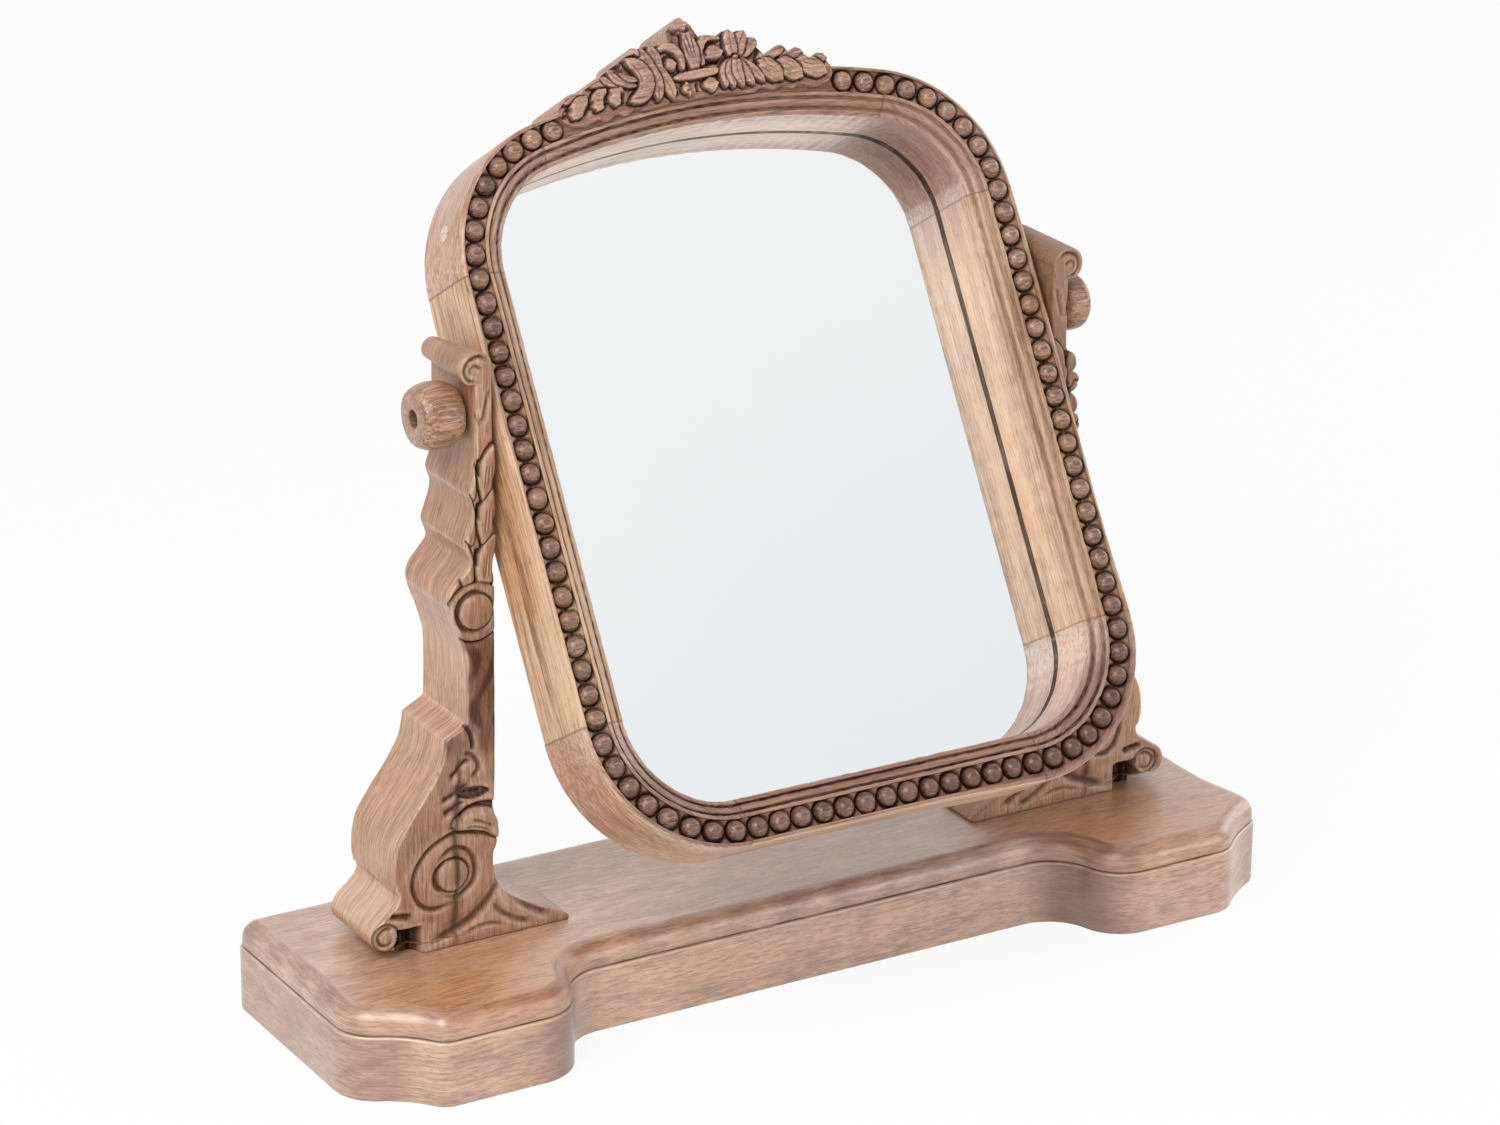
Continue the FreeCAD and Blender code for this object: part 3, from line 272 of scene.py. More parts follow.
class Carving:
    """Relief over a grid of places on a carved front: its height, its dark stain and its worn edges."""

    LINE_STEPS = 5
    CUT_TAPER = 2.2
    CUT_ENDS = (0.02, 0.98)
    LEAF_ROOT = 0.12
    LEAF_TIP = 0.98
    EDGE_CUT = 0.9
    RIM_INSET = 0.9
    RIM_WIDTH = 0.6
    RIM_WEAR = 0.5
    STAIN_LIMIT = 0.75
    WEAR_LIMIT = 0.6

    def __init__(self, x, y):
        self.x = x
        self.y = y
        self.height, self.stain, self.wear = np.zeros((3, *x.shape))

    def follow(self, points, margin):
        """The places near a smooth line, with their distance from it, share of the way along it and side."""
        line = smooth_line(points, self.LINE_STEPS) if len(points) > 2 else np.array(points, float)
        low = line.min(0) - margin
        high = line.max(0) + margin
        spot = (self.x > low[0]) & (self.x < high[0]) & (self.y > low[1]) & (self.y < high[1])
        return spot, *distance_to(self.x[spot], self.y[spot], line)

    def darken(self, amount):
        """Stain where there is not as much already."""
        self.stain = np.maximum(self.stain, amount)

    def groove(self, points, width, depth, dark=1.0, slope=0):
        """A cut along a smooth line; with a slope, one of its sides runs out gently."""
        easing = 1 + 3 * abs(slope)
        spot, away, along, side = self.follow(points, width * (1.5 + easing))
        taper = np.clip(np.sin(np.clip(along, *self.CUT_ENDS) * math.pi) * self.CUT_TAPER, 0, 1)
        gentle = np.where(side * np.sign(slope or 1) > 0, easing, 1)
        self.height[spot] -= depth * taper * bell(away, width * gentle)
        self.stain[spot] = np.maximum(self.stain[spot], dark * taper * bell(away, 0.7 * width))
        self.wear[spot] = np.maximum(self.wear[spot], 0.6 * taper * bell(away - 2 * width, 0.6 * width))

    def leaf(self, points, width, level, crown, vein=0, dark=1.0, blunt=False):
        """A raised leaf along a spine, which covers what lies under it and has a dark edge."""
        spot, away, along, side = self.follow(points, 1.6 * width)
        grown = np.clip(self.LEAF_ROOT + (self.LEAF_TIP - self.LEAF_ROOT) * along, 0, 1)
        half = width * np.sqrt(np.clip(np.sin(grown * math.pi), 0.02, 1))
        if blunt:
            half = width * np.sqrt(np.clip(1 - np.abs(2 * along - 1) ** 3, 0.05, 1))
        inside = away < half
        rise = level + crown * np.clip(1 - (away / half) ** 3, 0, 1) ** 0.6 - vein * bell(away, 0.5)
        outside = self.height[spot] - self.EDGE_CUT * bell(away - half, 0.9)
        rim = self.RIM_WEAR * bell(away - half + self.RIM_INSET, self.RIM_WIDTH) * inside
        self.wear[spot] = np.where(inside, rim, self.wear[spot])
        self.height[spot] = np.where(inside, rise, outside)
        edge = dark * bell(away - half - 0.25, 0.55)
        lines = 0.5 * dark * (vein > 0) * bell(away, 0.45) * inside
        self.stain[spot] = np.maximum(np.where(inside, 0, self.stain[spot]), np.maximum(edge, lines))

    def disc(self, centre, radius, level, crown, dark):
        """A round boss with a dark groove about it."""
        away = np.hypot(self.x - centre[0], self.y - centre[1])
        inside = away < radius
        rise = level + crown * np.sqrt(np.clip(1 - (away / radius) ** 2, 0, 1))
        self.height = np.where(inside, rise, self.height - 1.6 * bell(away - radius - 0.4, 0.9))
        self.stain = np.maximum(np.where(inside, 0, self.stain), dark * bell(away - radius - 0.3, 0.7))
        rim = self.RIM_WEAR * bell(away - radius + self.RIM_INSET, self.RIM_WIDTH)
        self.wear = np.where(inside, rim, self.wear)

    def weather(self, reach, share):
        """Stain that has gathered in the hollows, and edges that are rubbed pale."""
        sunk = blurred(self.height, reach) - self.height
        self.darken(np.clip(share * sunk, 0, self.STAIN_LIMIT))
        self.wear = np.maximum(self.wear, np.clip(-share * sunk, 0, self.WEAR_LIMIT))


def ring_faces(rings, count, closed=False):
    """Quads between rows of closed rings, and the two end caps unless the last row joins the first."""
    index = np.arange(rings * count).reshape(rings, count)
    here = index if closed else index[:-1]
    there = np.roll(index, -1, 0) if closed else index[1:]
    quads = np.stack([here, np.roll(here, -1, 1), np.roll(there, -1, 1), there], -1).reshape(-1, 4).tolist()
    return quads if closed else [*quads, index[0][::-1].tolist(), index[-1].tolist()]


def new_piece(name, points, faces, body, slot, material, nodes, sharp=38, **attributes):
    """A mesh piece that rides a body, stands for CAD nodes and carries its vertex attributes."""
    mesh = bpy.data.meshes.new(name)
    mesh.from_pydata((np.asarray(points, float).reshape(-1, 3) * MM).tolist(), [], faces)
    work = bmesh.new()
    work.from_mesh(mesh)
    bmesh.ops.recalc_face_normals(work, faces=work.faces)
    work.to_mesh(mesh)
    work.free()
    mesh.shade_smooth()
    for face in mesh.polygons:
        face.use_smooth = len(face.vertices) <= 4
    mesh.set_sharp_from_angle(angle=math.radians(sharp))
    for label, values in attributes.items():
        values = np.asarray(values, np.float32).ravel()
        if label == "grain":
            store = mesh.attributes.new(label, "FLOAT_VECTOR", "POINT")
            store.data.foreach_set("vector", values * MM)
        else:
            store = mesh.attributes.new(label, "FLOAT", "POINT")
            store.data.foreach_set("value", values)
    mesh.materials.append(material)
    piece = bpy.data.objects.new(name, mesh)
    bpy.context.scene.collection.objects.link(piece)
    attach(piece, body)
    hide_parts(*nodes)


def leaning(u, v, n):
    """Places given across, up and ahead of the mirror, in the part's frame at rest."""
    return np.stack([
        u,
        PIVOT_Y + v * math.sin(TILT) - n * math.cos(TILT),
        PIVOT_Z + v * math.cos(TILT) + n * math.sin(TILT),
    ], -1)


def tint(red, green, blue):
    """A colour as it looks on screen, 0 to 255, as the linear colour that shaders use."""
    shares = [channel / 255 for channel in (red, green, blue)]
    return tuple([((share + 0.055) / 1.055) ** 2.4 for share in shares] + [1.0])


class Nodes:
    """A node tree, with short ways to add nodes."""

    def __init__(self, tree):
        self.tree = tree

    def put(self, socket, value):
        """A value or a link on a socket."""
        if isinstance(value, bpy.types.NodeSocket):
            self.tree.links.new(value, socket)
        else:
            socket.default_value = value

    def fill(self, node, inputs):
        """Values or links on the named inputs of a node."""
        for key, value in inputs.items():
            self.put(node.inputs[key.replace("_", " ")], value)

    def node(self, kind, settings=None, **inputs):
        """A node with its settings and inputs; an input that is a socket is linked."""
        made = self.tree.nodes.new(kind)
        for key, value in (settings or {}).items():
            setattr(made, key, value)
        self.fill(made, inputs)
        return made

    def vector(self, operation, first, second):
        """A sum on two vectors."""
        made = self.node("ShaderNodeVectorMath", {"operation": operation})
        self.put(made.inputs[0], first)
        self.put(made.inputs[1], second)
        return made.outputs["Vector" if operation == "MULTIPLY" else "Value"]

    def math(self, operation, first, second):
        """A sum on two values."""
        made = self.node("ShaderNodeMath", {"operation": operation, "use_clamp": True})
        self.put(made.inputs[0], first)
        self.put(made.inputs[1], second)
        return made.outputs[0]

    def noise(self, vector, along, across, detail=4, roughness=0.6, distortion=0.0):
        """Noise over a place, with its own scale along and across the grain."""
        scaled = self.vector("MULTIPLY", vector, (along, across, across))
        return self.node("ShaderNodeTexNoise", Vector=scaled, Scale=1.0, Detail=detail, Roughness=roughness,
                         Distortion=distortion).outputs["Fac"]

    def ramp(self, factor, stops):
        """A colour ramp: position and colour of each stop."""
        made = self.node("ShaderNodeValToRGB", Fac=factor)
        elements = made.color_ramp.elements
        while len(elements) < len(stops):
            elements.new(0.5)
        for element, (position, colour) in zip(elements, stops):
            element.position = position
            element.color = colour
        return made.outputs["Color"]

    def level(self, factor, low, high, top=1.0, bottom=0.0):
        """A factor spread from low to high onto bottom to top."""
        return self.node("ShaderNodeMapRange", {"clamp": True}, Value=factor, From_Min=low, From_Max=high,
                         To_Min=bottom, To_Max=top).outputs["Result"]

    def mix(self, factor, first, second, blend="MIX"):
        """One colour over another."""
        made = self.node("ShaderNodeMix", {"data_type": "RGBA", "blend_type": blend})
        self.put(made.inputs["Factor"], factor)
        self.put(made.inputs[6], first)
        self.put(made.inputs[7], second)
        return made.outputs[2]

    def attribute(self, name, output="Fac"):
        """A vertex attribute of the piece."""
        return self.node("ShaderNodeAttribute", {"attribute_name": name}).outputs[output]

    def place(self):
        """The place on the piece."""
        return self.node("ShaderNodeTexCoord").outputs["Object"]

    def bump(self, height, strength, distance):
        """A surface raised by a height."""
        raised = self.node("ShaderNodeBump", Strength=strength, Distance=distance, Height=height)
        return raised.outputs["Normal"]

    def seen(self):
        """1 for rays from the camera or from a mirror image, else 0."""
        path = self.node("ShaderNodeLightPath").outputs
        return self.math("MAXIMUM", path["Is Camera Ray"], path["Is Glossy Ray"])


class Finish(Nodes):
    """A material's node tree and its shader."""

    def __init__(self, name):
        self.material = bpy.data.materials.new(name)
        self.material.use_nodes = True
        super().__init__(self.material.node_tree)
        self.shader = self.tree.nodes["Principled BSDF"]

    def surface(self, **inputs):
        """Values or links on the shader."""
        self.fill(self.shader, inputs)


STAIN = tint(38, 24, 17)
PORE = tint(70, 46, 33)
WASH = tint(228, 206, 190)
SHADE = tint(180, 158, 154)
SPOT = tint(196, 160, 138)
WORN = tint(224, 196, 172)
# Colour of the painted reflection of the posts on the base's top.
POST_REFLECTION_GOLD = tint(214, 150, 90)
# Noises of the wood: scale along and across the grain, detail, roughness and distortion.
NOISES = {
    "bands": (5, 62, 5, 0.62, 0.6), "threads": (26, 560, 6, 0.68, 0), "pores": (150, 1000, 2, 0.5, 0),
    "cloud": (9, 17, 5, 0.55, 0), "patches": (5, 11, 4, 0.6, 0.4), "flecks": (70, 800, 3, 0.6, 0),
    "spots": (38, 75, 5, 0.65, 0.5),
}
# Shares of a noise at which a layer of the wood starts and is full, and how much it then covers.
LAYER_SHARES = {
    "patches": (0.48, 0.66, 0.7), "cloud": (0.48, 0.7, 0.55), "flecks": (0.54, 0.68, 0.36),
    "spots": (0.46, 0.68),
    # The rubbed layer only breaks up the painted reflection of the posts along the grain.
    "pores": (0.56, 0.66), "worn": (0.3, 0.6, 0.75), "stained": (0.15, 0.5), "rubbed": (0.34, 0.62),
}
STREAK_SHARES = (0.42, 0.5, 0.58)
GLOSS_SHARES = (0.3, 0.7)
GLOSS_SPREAD = 0.16


def wood(name, pale, middle, deep, gold, own_grain=True, gloss=0.3, coat=0.4, fibre=1.0, bump=0.3,
         coat_index=1.5, coat_gloss=0.2, pore=0.6, short=1.0, figure=0.32, mottle=0.0, post_reflection=None):
    """Washed hardwood: streaks and pores along the grain, cloudy wash, stain in the hollows, worn edges."""
    finish = Finish(name)
    place = finish.attribute("grain", "Vector") if own_grain else finish.place()

    def noise(label, along_share=1.0, across_share=1.0):
        along, across, *rest = NOISES[label]
        return finish.noise(place, along * along_share, across * across_share, *rest)

    def layer(label, factor, *cover):
        return finish.level(factor, *LAYER_SHARES[label], *cover)

    threads = noise("threads", short, fibre)
    streak = finish.math("ADD", finish.math("MULTIPLY", noise("bands", short), figure),
                         finish.math("MULTIPLY", threads, 1 - figure))
    colour = finish.ramp(streak, list(zip(STREAK_SHARES, (deep, middle, pale))))
    colour = finish.mix(layer("patches", noise("patches")), colour, gold, "MULTIPLY")
    colour = finish.mix(layer("cloud", noise("cloud")), colour, pale)
    if mottle:
        colour = finish.mix(layer("spots", noise("spots"), mottle), colour, SPOT, "MULTIPLY")
    colour = finish.mix(layer("flecks", noise("flecks", 1.0, fibre)), colour, WASH)
    dashes = layer("pores", noise("pores", 1.0, fibre), pore)
    colour = finish.mix(dashes, colour, PORE)
    if post_reflection:
        # Painted reflection of the posts on the base's top.
        colour = painted_post_reflection(finish, colour, layer("rubbed", threads), *post_reflection)
    colour = finish.mix(finish.attribute("shade"), colour, SHADE, "MULTIPLY")
    worn = finish.math("MULTIPLY", finish.attribute("wear"), layer("worn", threads))
    colour = finish.mix(worn, colour, WORN)
    hollow = finish.math("MULTIPLY", finish.attribute("stain"), layer("stained", threads))
    rough = finish.level(threads, *GLOSS_SHARES, gloss + GLOSS_SPREAD, gloss)
    shine, specular = [finish.level(hollow, 0.0, 1.0, 0.04 * full, full) for full in (coat, 0.5)]
    relief = finish.math("SUBTRACT", threads, finish.math("MULTIPLY", dashes, 0.8))
    finish.surface(Base_Color=finish.mix(hollow, colour, STAIN), Roughness=rough, Coat_Weight=shine,
                   Specular_IOR_Level=specular, Coat_Roughness=coat_gloss, Coat_IOR=coat_index,
                   Normal=finish.bump(relief, bump, 0.6 * MM))
    return finish.material


def painted_post_reflection(finish, colour, rubbed, centre, near, far):
    """Painted post reflection: a golden patch about a centre on each half of the piece, paler away from it.
    """
    split = finish.node("ShaderNodeSeparateXYZ", Vector=finish.place()).outputs
    folded = finish.node("ShaderNodeCombineXYZ", X=finish.math("ABSOLUTE", split["X"], 0.0), Y=split["Y"],
                         Z=split["Z"])
    stretch = np.array((0.6, 1.0, 3.0))
    scaled = finish.vector("MULTIPLY", folded.outputs[0], stretch)
    washed = finish.level(finish.vector("DISTANCE", scaled, stretch * centre), near, far)
    patch = finish.math("MULTIPLY", finish.level(washed, 1.0, 0.0, 0.9), rubbed)
    golden = finish.mix(patch, colour, POST_REFLECTION_GOLD)
    return finish.mix(finish.math("MULTIPLY", washed, 0.18), golden, WASH)


def plain(name, colour, deep, roughness, metallic=0.0, scale=220, bump=0.1):
    """A finish with a little unevenness in its colour, gloss and surface."""
    finish = Finish(name)
    uneven = finish.noise(finish.place(), scale, scale, detail=5)
    finish.surface(Base_Color=finish.ramp(uneven, [(0.35, tint(*deep)), (0.65, tint(*colour))]),
                   Roughness=finish.level(uneven, *GLOSS_SHARES, roughness + 0.12, roughness),
                   Metallic=metallic, Normal=finish.bump(uneven, bump, 0.3 * MM))
    return finish.material


def painted_reflection_mirror():
    """Mirror glass with a painted reflection, lighter to the top left, and a hardly visible unevenness of its
    coat.
    """
    finish = Finish("silvered_glass")
    place = finish.place()
    haze = finish.level(finish.noise(place, 6, 6, detail=3), 0.3, 0.7, 0.04)
    # Painted reflection: the silver grows lighter towards the top left.
    slope = finish.vector("DOT_PRODUCT", place, (-0.4, 0, 1))
    depth = finish.level(finish.math("ADD", slope, haze), 0.12, 0.6)
    silver = finish.ramp(depth, [(0.0, tint(231, 235, 238)), (1.0, tint(243, 246, 246))])
    finish.surface(Base_Color=silver, Metallic=1.0, Roughness=0.015)
    return finish.material


# Pale, middle, deep and golden tone of each wood.
WOODS = {
    "base": ((214, 170, 137), (188, 141, 108), (146, 100, 73), (240, 210, 178)),
    "post": ((200, 156, 126), (184, 140, 110), (162, 120, 92), (240, 206, 170)),
    "frame": ((224, 188, 152), (199, 158, 121), (150, 107, 74), (242, 206, 162)),
    "corner": ((214, 180, 156), (190, 153, 128), (160, 123, 99), (240, 210, 184)),
    "crest": ((178, 134, 110), (152, 108, 86), (118, 80, 63), (236, 204, 176)),
    "bead": ((168, 128, 101), (132, 96, 73), (88, 61, 46), (234, 206, 178)),
    "knob": ((190, 146, 116), (156, 112, 84), (108, 74, 54), (236, 200, 160)),
    "panel": ((190, 158, 126), (166, 132, 100), (134, 100, 74), (240, 210, 170)),
    "dowel": ((232, 208, 190), (214, 186, 166), (176, 142, 118), (240, 210, 176)),
}
LACQUERS = {
    "base": {"coat": 1.0, "coat_index": 1.8, "coat_gloss": 0.36, "pore": 0.5, "short": 2.6, "mottle": 0.6,
             # Painted reflection of the posts on the base's top: its centre, near and far reach.
             "post_reflection": ((0.215, -0.062, 0.054), 0.015, 0.07)},
    "post": {"coat": 0.2, "pore": 0.45, "short": 1.6},
    "frame": {"coat": 0.15, "pore": 0.35, "figure": 0.45},
    "corner": {"coat": 0.2, "pore": 0.3, "short": 1.6},
    "bead": {"gloss": 0.26, "coat": 0.3, "bump": 0.4},
    "crest": {"gloss": 0.36, "coat": 0.15, "bump": 0.12, "pore": 0.3, "short": 2.0},
    "panel": {"own_grain": False},
    "dowel": {"own_grain": False, "fibre": 0.8},
}
FINISHES = {
    name: wood(f"{name}_wood", *[tint(*tone) for tone in tones], **LACQUERS.get(name, {}))
    for name, tones in WOODS.items()
}


def walk(x, y, moves, spacing=3.0):
    """A plan line walked from a place heading along +X: straight runs, and arcs of a radius and turn."""
    heading = 0.0
    places = []
    for length, radius, turn in moves:
        angle = math.radians(turn)
        bend = math.copysign(radius, turn)
        count = max(2, math.ceil((length + radius * abs(angle)) / spacing))
        for step in range(count + 1):
            share = step / count
            ahead = heading + angle * share
            next_x = x + length * share * math.cos(heading) + bend * (math.sin(ahead) - math.sin(heading))
            next_y = y + length * share * math.sin(heading) - bend * (math.cos(ahead) - math.cos(heading))
            places.append((next_x, next_y, math.sin(ahead), -math.cos(ahead)))
        # The last place of a run is the first of the next.
        places.pop()
        x, y = next_x, next_y
        heading += angle
    return np.array(places)


def base_half(side):
    """Half of the base board's plan, from the middle of its front to the middle of its back."""
    shape = BASE_SIDES[side]
    front_round, hollow, end_round = shape["rounds"]
    steep, flat = shape["headings"]
    sines = [math.sin(math.radians(angle)) for angle in (steep, flat)]
    cosines = [math.cos(math.radians(angle)) for angle in (steep, flat)]
    ogee_turn = 2 * math.degrees(math.atan(RECESS_DEPTH / OGEE_RUN))
    ogee = OGEE_RUN / 2 / math.sin(math.radians(ogee_turn))
    corner_run = front_round * sines[0] + hollow * (sines[0] - sines[1])
    front_x = shape["end"] - end_round * (1 - sines[1]) - corner_run
    rise = front_round * (1 - cosines[0]) + hollow * (cosines[1] - cosines[0]) + end_round * cosines[1]
    plan = walk(0, BASE_FRONT + RECESS_DEPTH, [
        (shape["recess"], 0, 0),
        (0, ogee, -ogee_turn), (0, ogee, ogee_turn),
        (front_x - shape["recess"] - OGEE_RUN, 0, 0),
        (0, front_round, steep), (0, hollow, flat - steep), (0, end_round, 90 - flat),
        (BASE_BACK - BACK_ROUND - BASE_FRONT - rise, 0, 0),
        (0, BACK_ROUND, 90),
        (shape["end"] - BACK_ROUND, 0, 0),
    ])
    flare = shape["end"] - BASE_END
    plan[:, 0] -= flare * smoothstep(front_x, shape["end"], plan[:, 0]) * smoothstep(*FLARE_FADE, plan[:, 1])
    return plan


def make_base():
    """Base board: one outline carried up through the plain side, the quirk and the moulding to the top."""
    seam = np.array([[SEAM, BASE_BACK, 0, 1]])
    right = np.vstack([base_half("right"), seam])
    left = np.vstack([base_half("left")[1:], seam])[::-1] * (-1, 1, -1, 1)
    plan = np.vstack([left, right])
    along = way_along(*plan[:, :2].T)
    ovolo = MOULD_RUN - MOULD_QUIRK
    spring = BASE_TOP - ovolo
    arc = [(MOULD_RUN - ovolo * math.cos(angle), spring + ovolo * math.sin(angle), 0, 0)
           for angle in np.linspace(0, math.pi / 2, 9)]
    levels = [*BASE_SECTION, *arc, (MOULD_RUN + SEAM, BASE_TOP, 0, 0)]
    # The wood is darker in the ogees, in the left scoop, at the ends and here and there on the moulding.
    ogee = bell(np.abs(plan[:, 0]) - 176, 20) * (plan[:, 1] < 0)
    scoop = bell(plan[:, 0] + 284, 15) * (plan[:, 1] < -30)
    ends = smoothstep(285, 300, np.abs(plan[:, 0]))
    side_tone = ogee + 0.6 * scoop + 0.3 * ends + 0.25 * wander(along, 11)
    mould_tone = 0.15 + 0.5 * wander(along, 13) + 0.4 * ogee
    faded = 0.75 + 0.6 * wander(along, 3)
    rings, grain, stain, wear, shade = [], [], [], [], []
    for inset, height, dark, worn in levels:
        level = np.full(len(plan), float(height))
        rings.append(np.column_stack([plan[:, :2] - plan[:, 2:] * inset, level]))
        grain.append(np.column_stack([along, level, level * 0 + inset]))
        stain.append(np.clip(dark * faded + 0.16 * ogee * (height < BASE_SIDE), 0, 1))
        wear.append(np.full(len(plan), float(worn)))
        browned = (mould_tone + 0.3 * smoothstep(spring, BASE_TOP - 2, height)) * (height < BASE_TOP - 0.01)
        shade.append(np.clip(side_tone if height < BASE_SIDE else browned, 0, 1))
    grain[-1] = rings[-1]
    new_piece("base_carved", rings, ring_faces(len(levels), len(plan)), "base", "base_wood", FINISHES["base"],
              ["base_board"], stain=stain, wear=wear, shade=shade, grain=grain)


def post_edges(side):
    """The outer and inner edge of a post by height, and how far its foot is spread, as functions."""
    outer = np.vstack([smooth_line(run) for run in POST_RUNS])[::-1]
    inner = smooth_line(POST_INNER_LINE)[::-1]
    scroll_x, scroll_z, scroll_radius = SCROLL
    foot_x, foot_z, foot_radius = FOOT_SCROLL
    spread = RIGHT_SPREAD if side == "right" else 0
    curl_top, foot_hollow, scroll_drop = 75, 240, 8.5

    def shift(z):
        return spread * smoothstep(205, 105, z) + 0.5 * spread * smoothstep(88, 72, z)

    def leaf_tips(z):
        lobes = np.sqrt(np.abs(np.sin(math.pi * (z - 302) / 13)))
        return 0.6 * spread * lobes * band(285, 303, 339, 343, z)

    def round_half(z, middle, radius):
        return np.sqrt(np.clip(radius ** 2 - (z - middle) ** 2, 0, None))

    def outer_at(z):
        edge = np.interp(z, outer[:, 0], outer[:, 1])
        curl = foot_x + round_half(z, foot_z, foot_radius)
        curl = np.where(np.abs(z - foot_z) < foot_radius, curl, foot_hollow)
        edge = np.where(z < curl_top, np.maximum(curl, np.where(z > FOOT_END, edge, 0)), edge)
        neck = scroll_x + round_half(z, scroll_z, scroll_radius)
        neck = np.where(z > scroll_z - scroll_drop, neck, NECK_OUTER)
        return np.where(z > NECK_END, neck, edge + shift(z) + leaf_tips(z))

    def inner_at(z):
        edge = np.interp(z, inner[:, 0], inner[:, 1])
        return np.where(z > scroll_z, scroll_x - round_half(z, scroll_z, scroll_radius), edge)

    return outer_at, inner_at, shift


def carve_post(x, z):
    """Relief of a post's front, measured across and up, as on the left post."""
    carving = Carving(x, z)
    carve_neck(carving)
    carve_belly(carving)
    carve_foot(carving)
    # Stain that has run down the front, blots on the column, and the dark joint with the base.
    run = 206.5 + 2.2 * smoothstep(150, 110, z) + 0.8 * np.sin(z / 9)
    spread = 2.3 + 0.7 * np.sin(z / 5.3) + 0.5 * np.sin(z / 2.1)
    carving.darken(0.8 * bell(x - run, spread) * band(50, 62, 160, 172, z))
    blots = np.sin(x / 3.1 + 2 * np.sin(z / 8.3)) * np.sin(z / 11.7 + np.sin(x / 4.3))
    carving.darken(0.6 * band(165, 182, 226, 240, z) * smoothstep(0.1, 0.8, blots))
    carving.darken(0.8 * bell(z - BASE_TOP, 0.8))
    carving.weather(7, 0.8)
    # Tool marks.
    carving.height += 0.3 * np.sin(x / 2.3 + 1.7 * np.sin(z / 17)) * np.sin(z / 6.1 + x / 11)
    return carving


def carve_neck(carving):
    """Top scroll with the tongue under it, three pairs of husk leaves, and the ring boss."""
    groove = carving.groove
    groove([(186, 396.5), (190.5, 400), (196.5, 398.4), (199.4, 393), (197.4, 387.4),
            (191.5, 385)], 1.1, 1.6, 0.7)
    groove([(189.5, 392.6), (193.6, 395), (196.4, 392.6), (195, 389.6)], 1.0, 1.2, 0.6)
    groove([(200, 384), (197, 376), (193.4, 368), (190.5, 359)], 1.2, 1.6, 0.6, 0.4)
    groove([(184.6, 381), (187, 371), (189.4, 360)], 1.2, 1.4, 0.55)
    # Each pair of leaves is tucked under the pair above.
    for foot, lean in ((335, 0), (310, 0.6), (283.5, 2)):
        outer_leaf = [(197 + lean, foot - 15), (198 + lean, foot - 3), (197.6 + 2 * lean, foot + 11)]
        inner_leaf = [(187.4 + lean, foot - 16), (187 + lean, foot - 3), (183.6, foot + 12.6)]
        carving.leaf(outer_leaf, 4.9, -0.4, 2.0)
        carving.leaf(inner_leaf, 5.6, 0.5, 2.3)
        groove([(191.4 + lean, foot + 7), (191.8 + lean, foot + 1), (192.4 + lean, foot - 5)], 1.3, 2.2)
        for vein in (-2.4, 0.4, 2.6):
            groove([(187.2 + vein, foot - 11), (186 + 0.7 * vein, foot + 3)], 0.5, 0.5, 0.35)
    # Ring boss: raised band, deep crescent on its outer side, and a disc.
    carving.disc((194.5, 253), 17, 0.4, 0.5, 0.6)
    carving.disc((194.2, 252.8), 10.4, -0.2, 1.6, 0.8)
    groove([(190, 264.6), (198, 264.6), (204.6, 259), (206, 252), (203.4, 245), (197, 241.4)], 1.5, 2.4, 0.85)


def carve_belly(carving):
    """Curl and knife cuts at the head of the belly, the leaf that bulges over its inner edge, the volute."""
    groove = carving.groove
    groove([(205, 188), (200, 183.4), (197.6, 177), (197.4, 170)], 1.1, 1.8, 0.8, 0.3)
    groove([(203, 169.6), (197, 167), (193.8, 160), (198.6, 154)], 1.2, 1.6, 0.75, 0.3)
    groove([(211.6, 155), (207, 159.6), (202, 164.4), (197, 165)], 1.3, 2.0, 1.0, 0.5)
    groove([(217.4, 142.6), (211, 145), (205, 148.6), (198, 150.6)], 1.4, 2.2, 1.0, 0.5)
    carving.leaf([(204.6, 145.4), (197, 145.2), (188.4, 144.8)], 3.0, -3.6, 0.3)
    groove([(203.6, 145.6), (197, 145.2), (190, 144.9)], 2.4, 0.6)
    groove([(216, 134.4), (209, 138), (202, 141)], 1.4, 2.0, 1.0, 0.5)
    carving.leaf([(206, 128), (197, 129.4), (187, 126), (180, 116)], 7.2, 0.4, 1.8, 0, 0.9)
    groove([(209, 129.4), (200, 136.4), (187, 137.4), (181, 133)], 1.5, 2.2, 1.0, -0.4)
    for vein in (0, 4):
        groove([(203 - vein, 125.6 + vein), (194, 124 + vein), (186, 119.6 + vein)], 0.8, 0.9, 0.5)
    groove([(181, 115.7), (195, 121), (209, 123), (222.8, 117.6), (233.2, 106.6), (235.4, 94), (230.6, 83),
            (221, 79), (207, 81.6)], 1.1, 2.2, 0.8, 0.35)
    groove([(221.4, 106), (211, 113.9), (201, 111.2), (196, 101), (198, 90.2), (207, 83.8), (217, 86)],
           1.1, 1.9, 0.7, -0.4)
    carving.disc((210.5, 97.8), 9.6, 0.1, 1.0, 0.75)
    groove([(213.4, 107), (220.4, 102), (221.4, 94), (216.6, 88)], 1.3, 1.6, 0.8)


